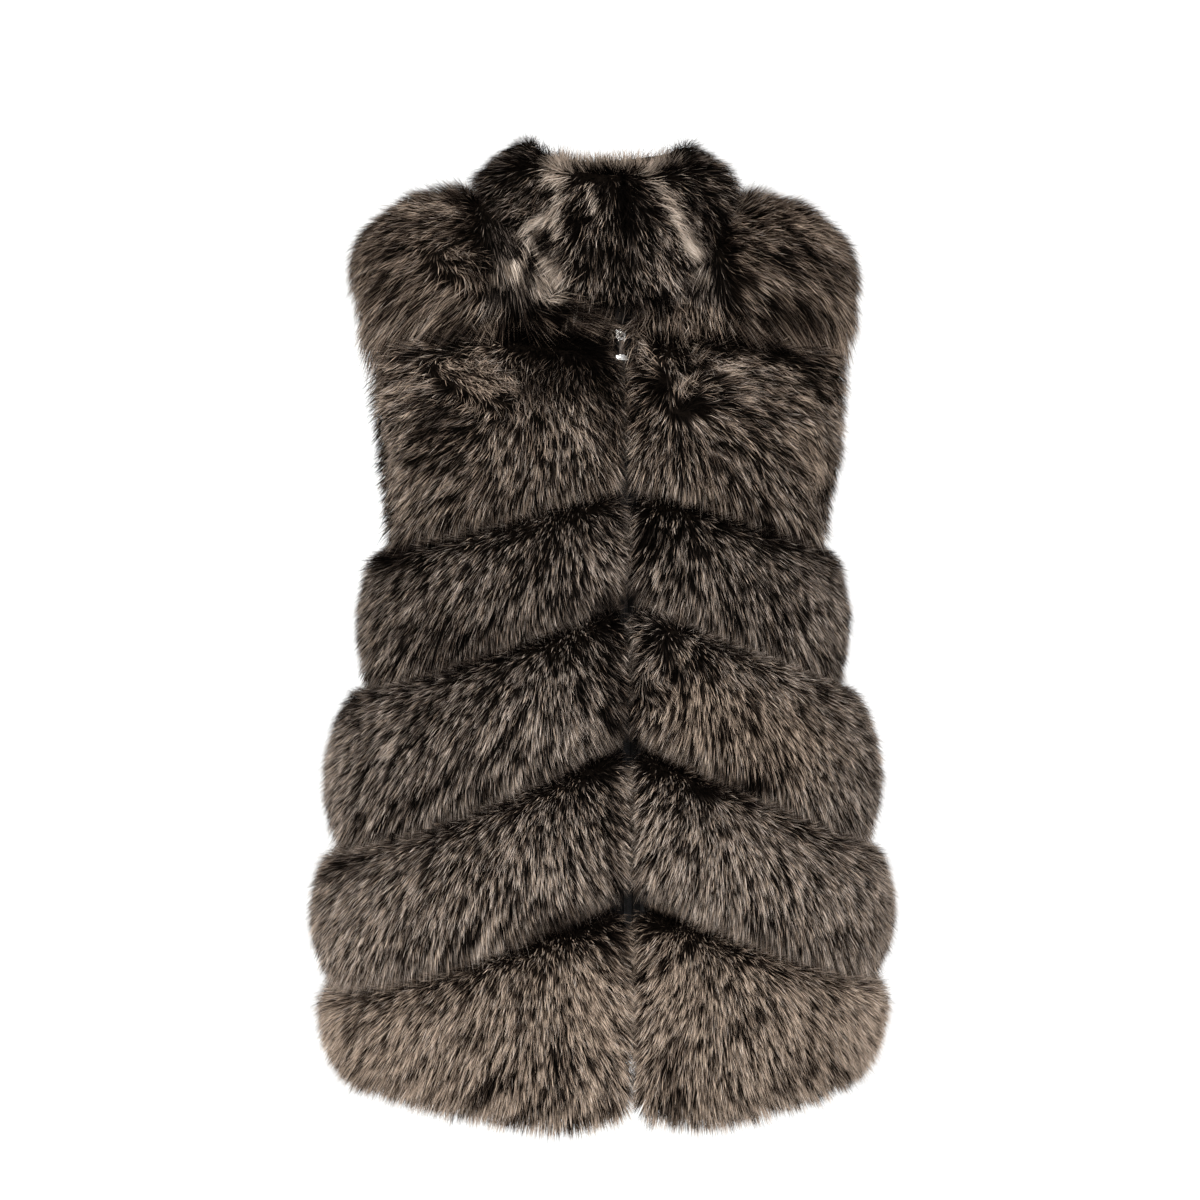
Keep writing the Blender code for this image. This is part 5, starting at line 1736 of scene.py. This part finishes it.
def build_slider():
    """Two shaped plates with a post between them and an arched bail in front."""
    place = centre_frame(SLIDER_Z)
    width, gauge, length = SLIDER_SIZE
    front = CHAIN_PROUD + SEAM_GAP + gauge / 2
    rear = front - PLATES_APART
    disc, faces = slab(rounded(width, length, SLIDER_CORNER, 6), gauge, SLIDER_BEVEL, SLIDER_TAPER)
    post, post_faces = slab(rounded(*POST_SIZE, POST_CORNER, 3), front - rear, POST_BEVEL)
    out, up = BAIL_RADII
    turn = np.linspace(-BAIL_PAST, math.pi + BAIL_PAST, BAIL_STEPS)
    arch = [(front + BAIL_OUT + out * math.sin(t), -up * math.cos(t)) for t in turn]
    bail, bail_faces = swept(arch, BAIL_HALF_WIDTH, BAIL_GAUGE)
    parts = [(placed(disc, (0.0, front, 0.0), place), faces),
             (placed(disc, (0.0, rear, 0.0), place), faces),
             (placed(post, (0.0, (front + rear) / 2, POST_UP), place), post_faces),
             (placed(bail, (0.0, 0.0, 0.0), place), bail_faces)]
    dress(add_mesh("zip_slider_nickel", *joined(parts)), METAL, nodes=("zip_slider",))


def build_pull():
    """The pull's wire ring, its leather strap and the nickel bar at its end."""
    hinge = np.array([joint["pos_m"] for joint in frame["joints"] if joint["name"] == "pull_hinge"][0])
    _, out, upward = centre_frame(SLIDER_Z)
    place = hinge, out, upward
    width, gauge, length = BAR_SIZE
    ring, ring_faces = ring_shape(*RING_SIZE)
    bar, bar_faces = slab(rounded(width, length, BAR_CORNER, 4), gauge, BAR_BEVEL)
    lip, lip_faces = slab(rounded(*LIP_SIZE, LIP_CORNER, 3), gauge + LIP_PROUD, LIP_PROUD)
    parts = [(placed(ring, (0.0, 0.0, RING_MIDDLE), place), ring_faces),
             (placed(bar, (0.0, 0.0, BAR_MIDDLE), place, BAR_TILT), bar_faces),
             (placed(lip, (0.0, 0.0, BAR_MIDDLE + LIP_UP), place, BAR_TILT), lip_faces)]
    metal = add_mesh("zip_pull_nickel", *joined(parts))
    dress(metal, METAL, body="pull", nodes=("zip_pull",))

    width, gauge, length = STRAP_SIZE
    strap, strap_faces = slab(rounded(width, length, STRAP_CORNER, 4), gauge, STRAP_BEVEL)
    parts = [(placed(strap, (0.0, 0.0, STRAP_MIDDLE), place), strap_faces)]
    thin, proud, long = STITCH_SIZE
    thread, thread_faces = slab(rounded(thin, long, STITCH_CORNER, 2), proud, STITCH_BEVEL)
    for side, number in product((-1, 1), range(STITCHES)):
        centre = (side * STITCH_X, gauge / 2, STRAP_MIDDLE + STITCH_FIRST - number * STITCH_PITCH)
        parts.append((placed(thread, centre, place), thread_faces))
    dress(add_mesh("zip_pull_strap", *joined(parts)), STRAP, body="pull", nodes=("zip_pull",))


# ------------------------------------------------------------------ floor, light and camera
FLOOR_HALF = 9.0              # half the floor's width, and how far it reaches in front
FLOOR_BACK = 4.0
FLOOR_BEND = 1.2
FLOOR_STEPS = 13
WALL_TOP_Z = 7.0
LIGHT_TARGET = (0.0, 0.0, -0.35)
Light = namedtuple("Light", "place size power colour")
LIGHTS = {
    "key": Light((-1.3, -2.6, 1.1), (2.2, 2.2), 125.0, (1.0, 0.985, 0.96)),
    "fill": Light((2.2, -2.0, 0.1), (1.8, 2.4), 46.0, (0.97, 0.985, 1.0)),
    "back": Light((0.2, 2.2, 1.8), (2.6, 1.6), 40.0, (1.0, 1.0, 1.0)),
}


def add_object(name, data, place, forward):
    """A lamp or camera at this place that looks this way."""
    thing = bpy.data.objects.new(name, data)
    thing.location = place
    thing.rotation_euler = forward.to_track_quat("-Z", "Y").to_euler()
    bpy.context.collection.objects.link(thing)
    return thing


def build_floor():
    """A pale floor that curves up behind."""
    turn = np.linspace(0.0, math.pi / 2, FLOOR_STEPS)
    line = [(-FLOOR_HALF, FLOOR_Z), (FLOOR_BACK, FLOOR_Z)]
    line += [(FLOOR_BACK + FLOOR_BEND * math.sin(t), FLOOR_Z + FLOOR_BEND * (1 - math.cos(t)))
             for t in turn[1:]]
    line.append((FLOOR_BACK + FLOOR_BEND, WALL_TOP_Z))
    grid = np.array([[(x, y, z) for x in (-FLOOR_HALF, FLOOR_HALF)] for y, z in line])
    floor = add_mesh("studio_floor", grid.reshape(-1, 3), grid_faces(len(line), 2))
    floor.data.materials.append(floor_material())


def add_lights():
    """An even white surrounding and three soft area lights."""
    world = bpy.data.worlds.new("studio")
    world.use_nodes = True
    background = world.node_tree.nodes["Background"]
    background.inputs["Color"].default_value = (1.0, 1.0, 1.0, 1.0)
    background.inputs["Strength"].default_value = 1.0
    bpy.context.scene.world = world
    for name, (place, size, power, colour) in LIGHTS.items():
        light = bpy.data.lights.new(name, "AREA")
        light.shape = "RECTANGLE"
        light.size, light.size_y = size
        light.energy = power
        light.color = colour
        add_object(name, light, place, Vector(LIGHT_TARGET) - Vector(place))


def add_camera():
    """The photograph's camera."""
    camera = bpy.data.cameras.new("camera")
    camera.lens = CAMERA_LENS
    camera.sensor_width = CAMERA_SENSOR
    place, forward, _ = camera_frame()
    bpy.context.scene.camera = add_object("camera", camera, place, Vector(forward))


def main():
    """The dressed vest in its studio."""
    furs = build_strips()
    build_leather()
    build_collar()
    build_zip()
    build_floor()
    bpy.context.scene.view_settings.view_transform = "Standard"
    add_lights()
    add_camera()


main()
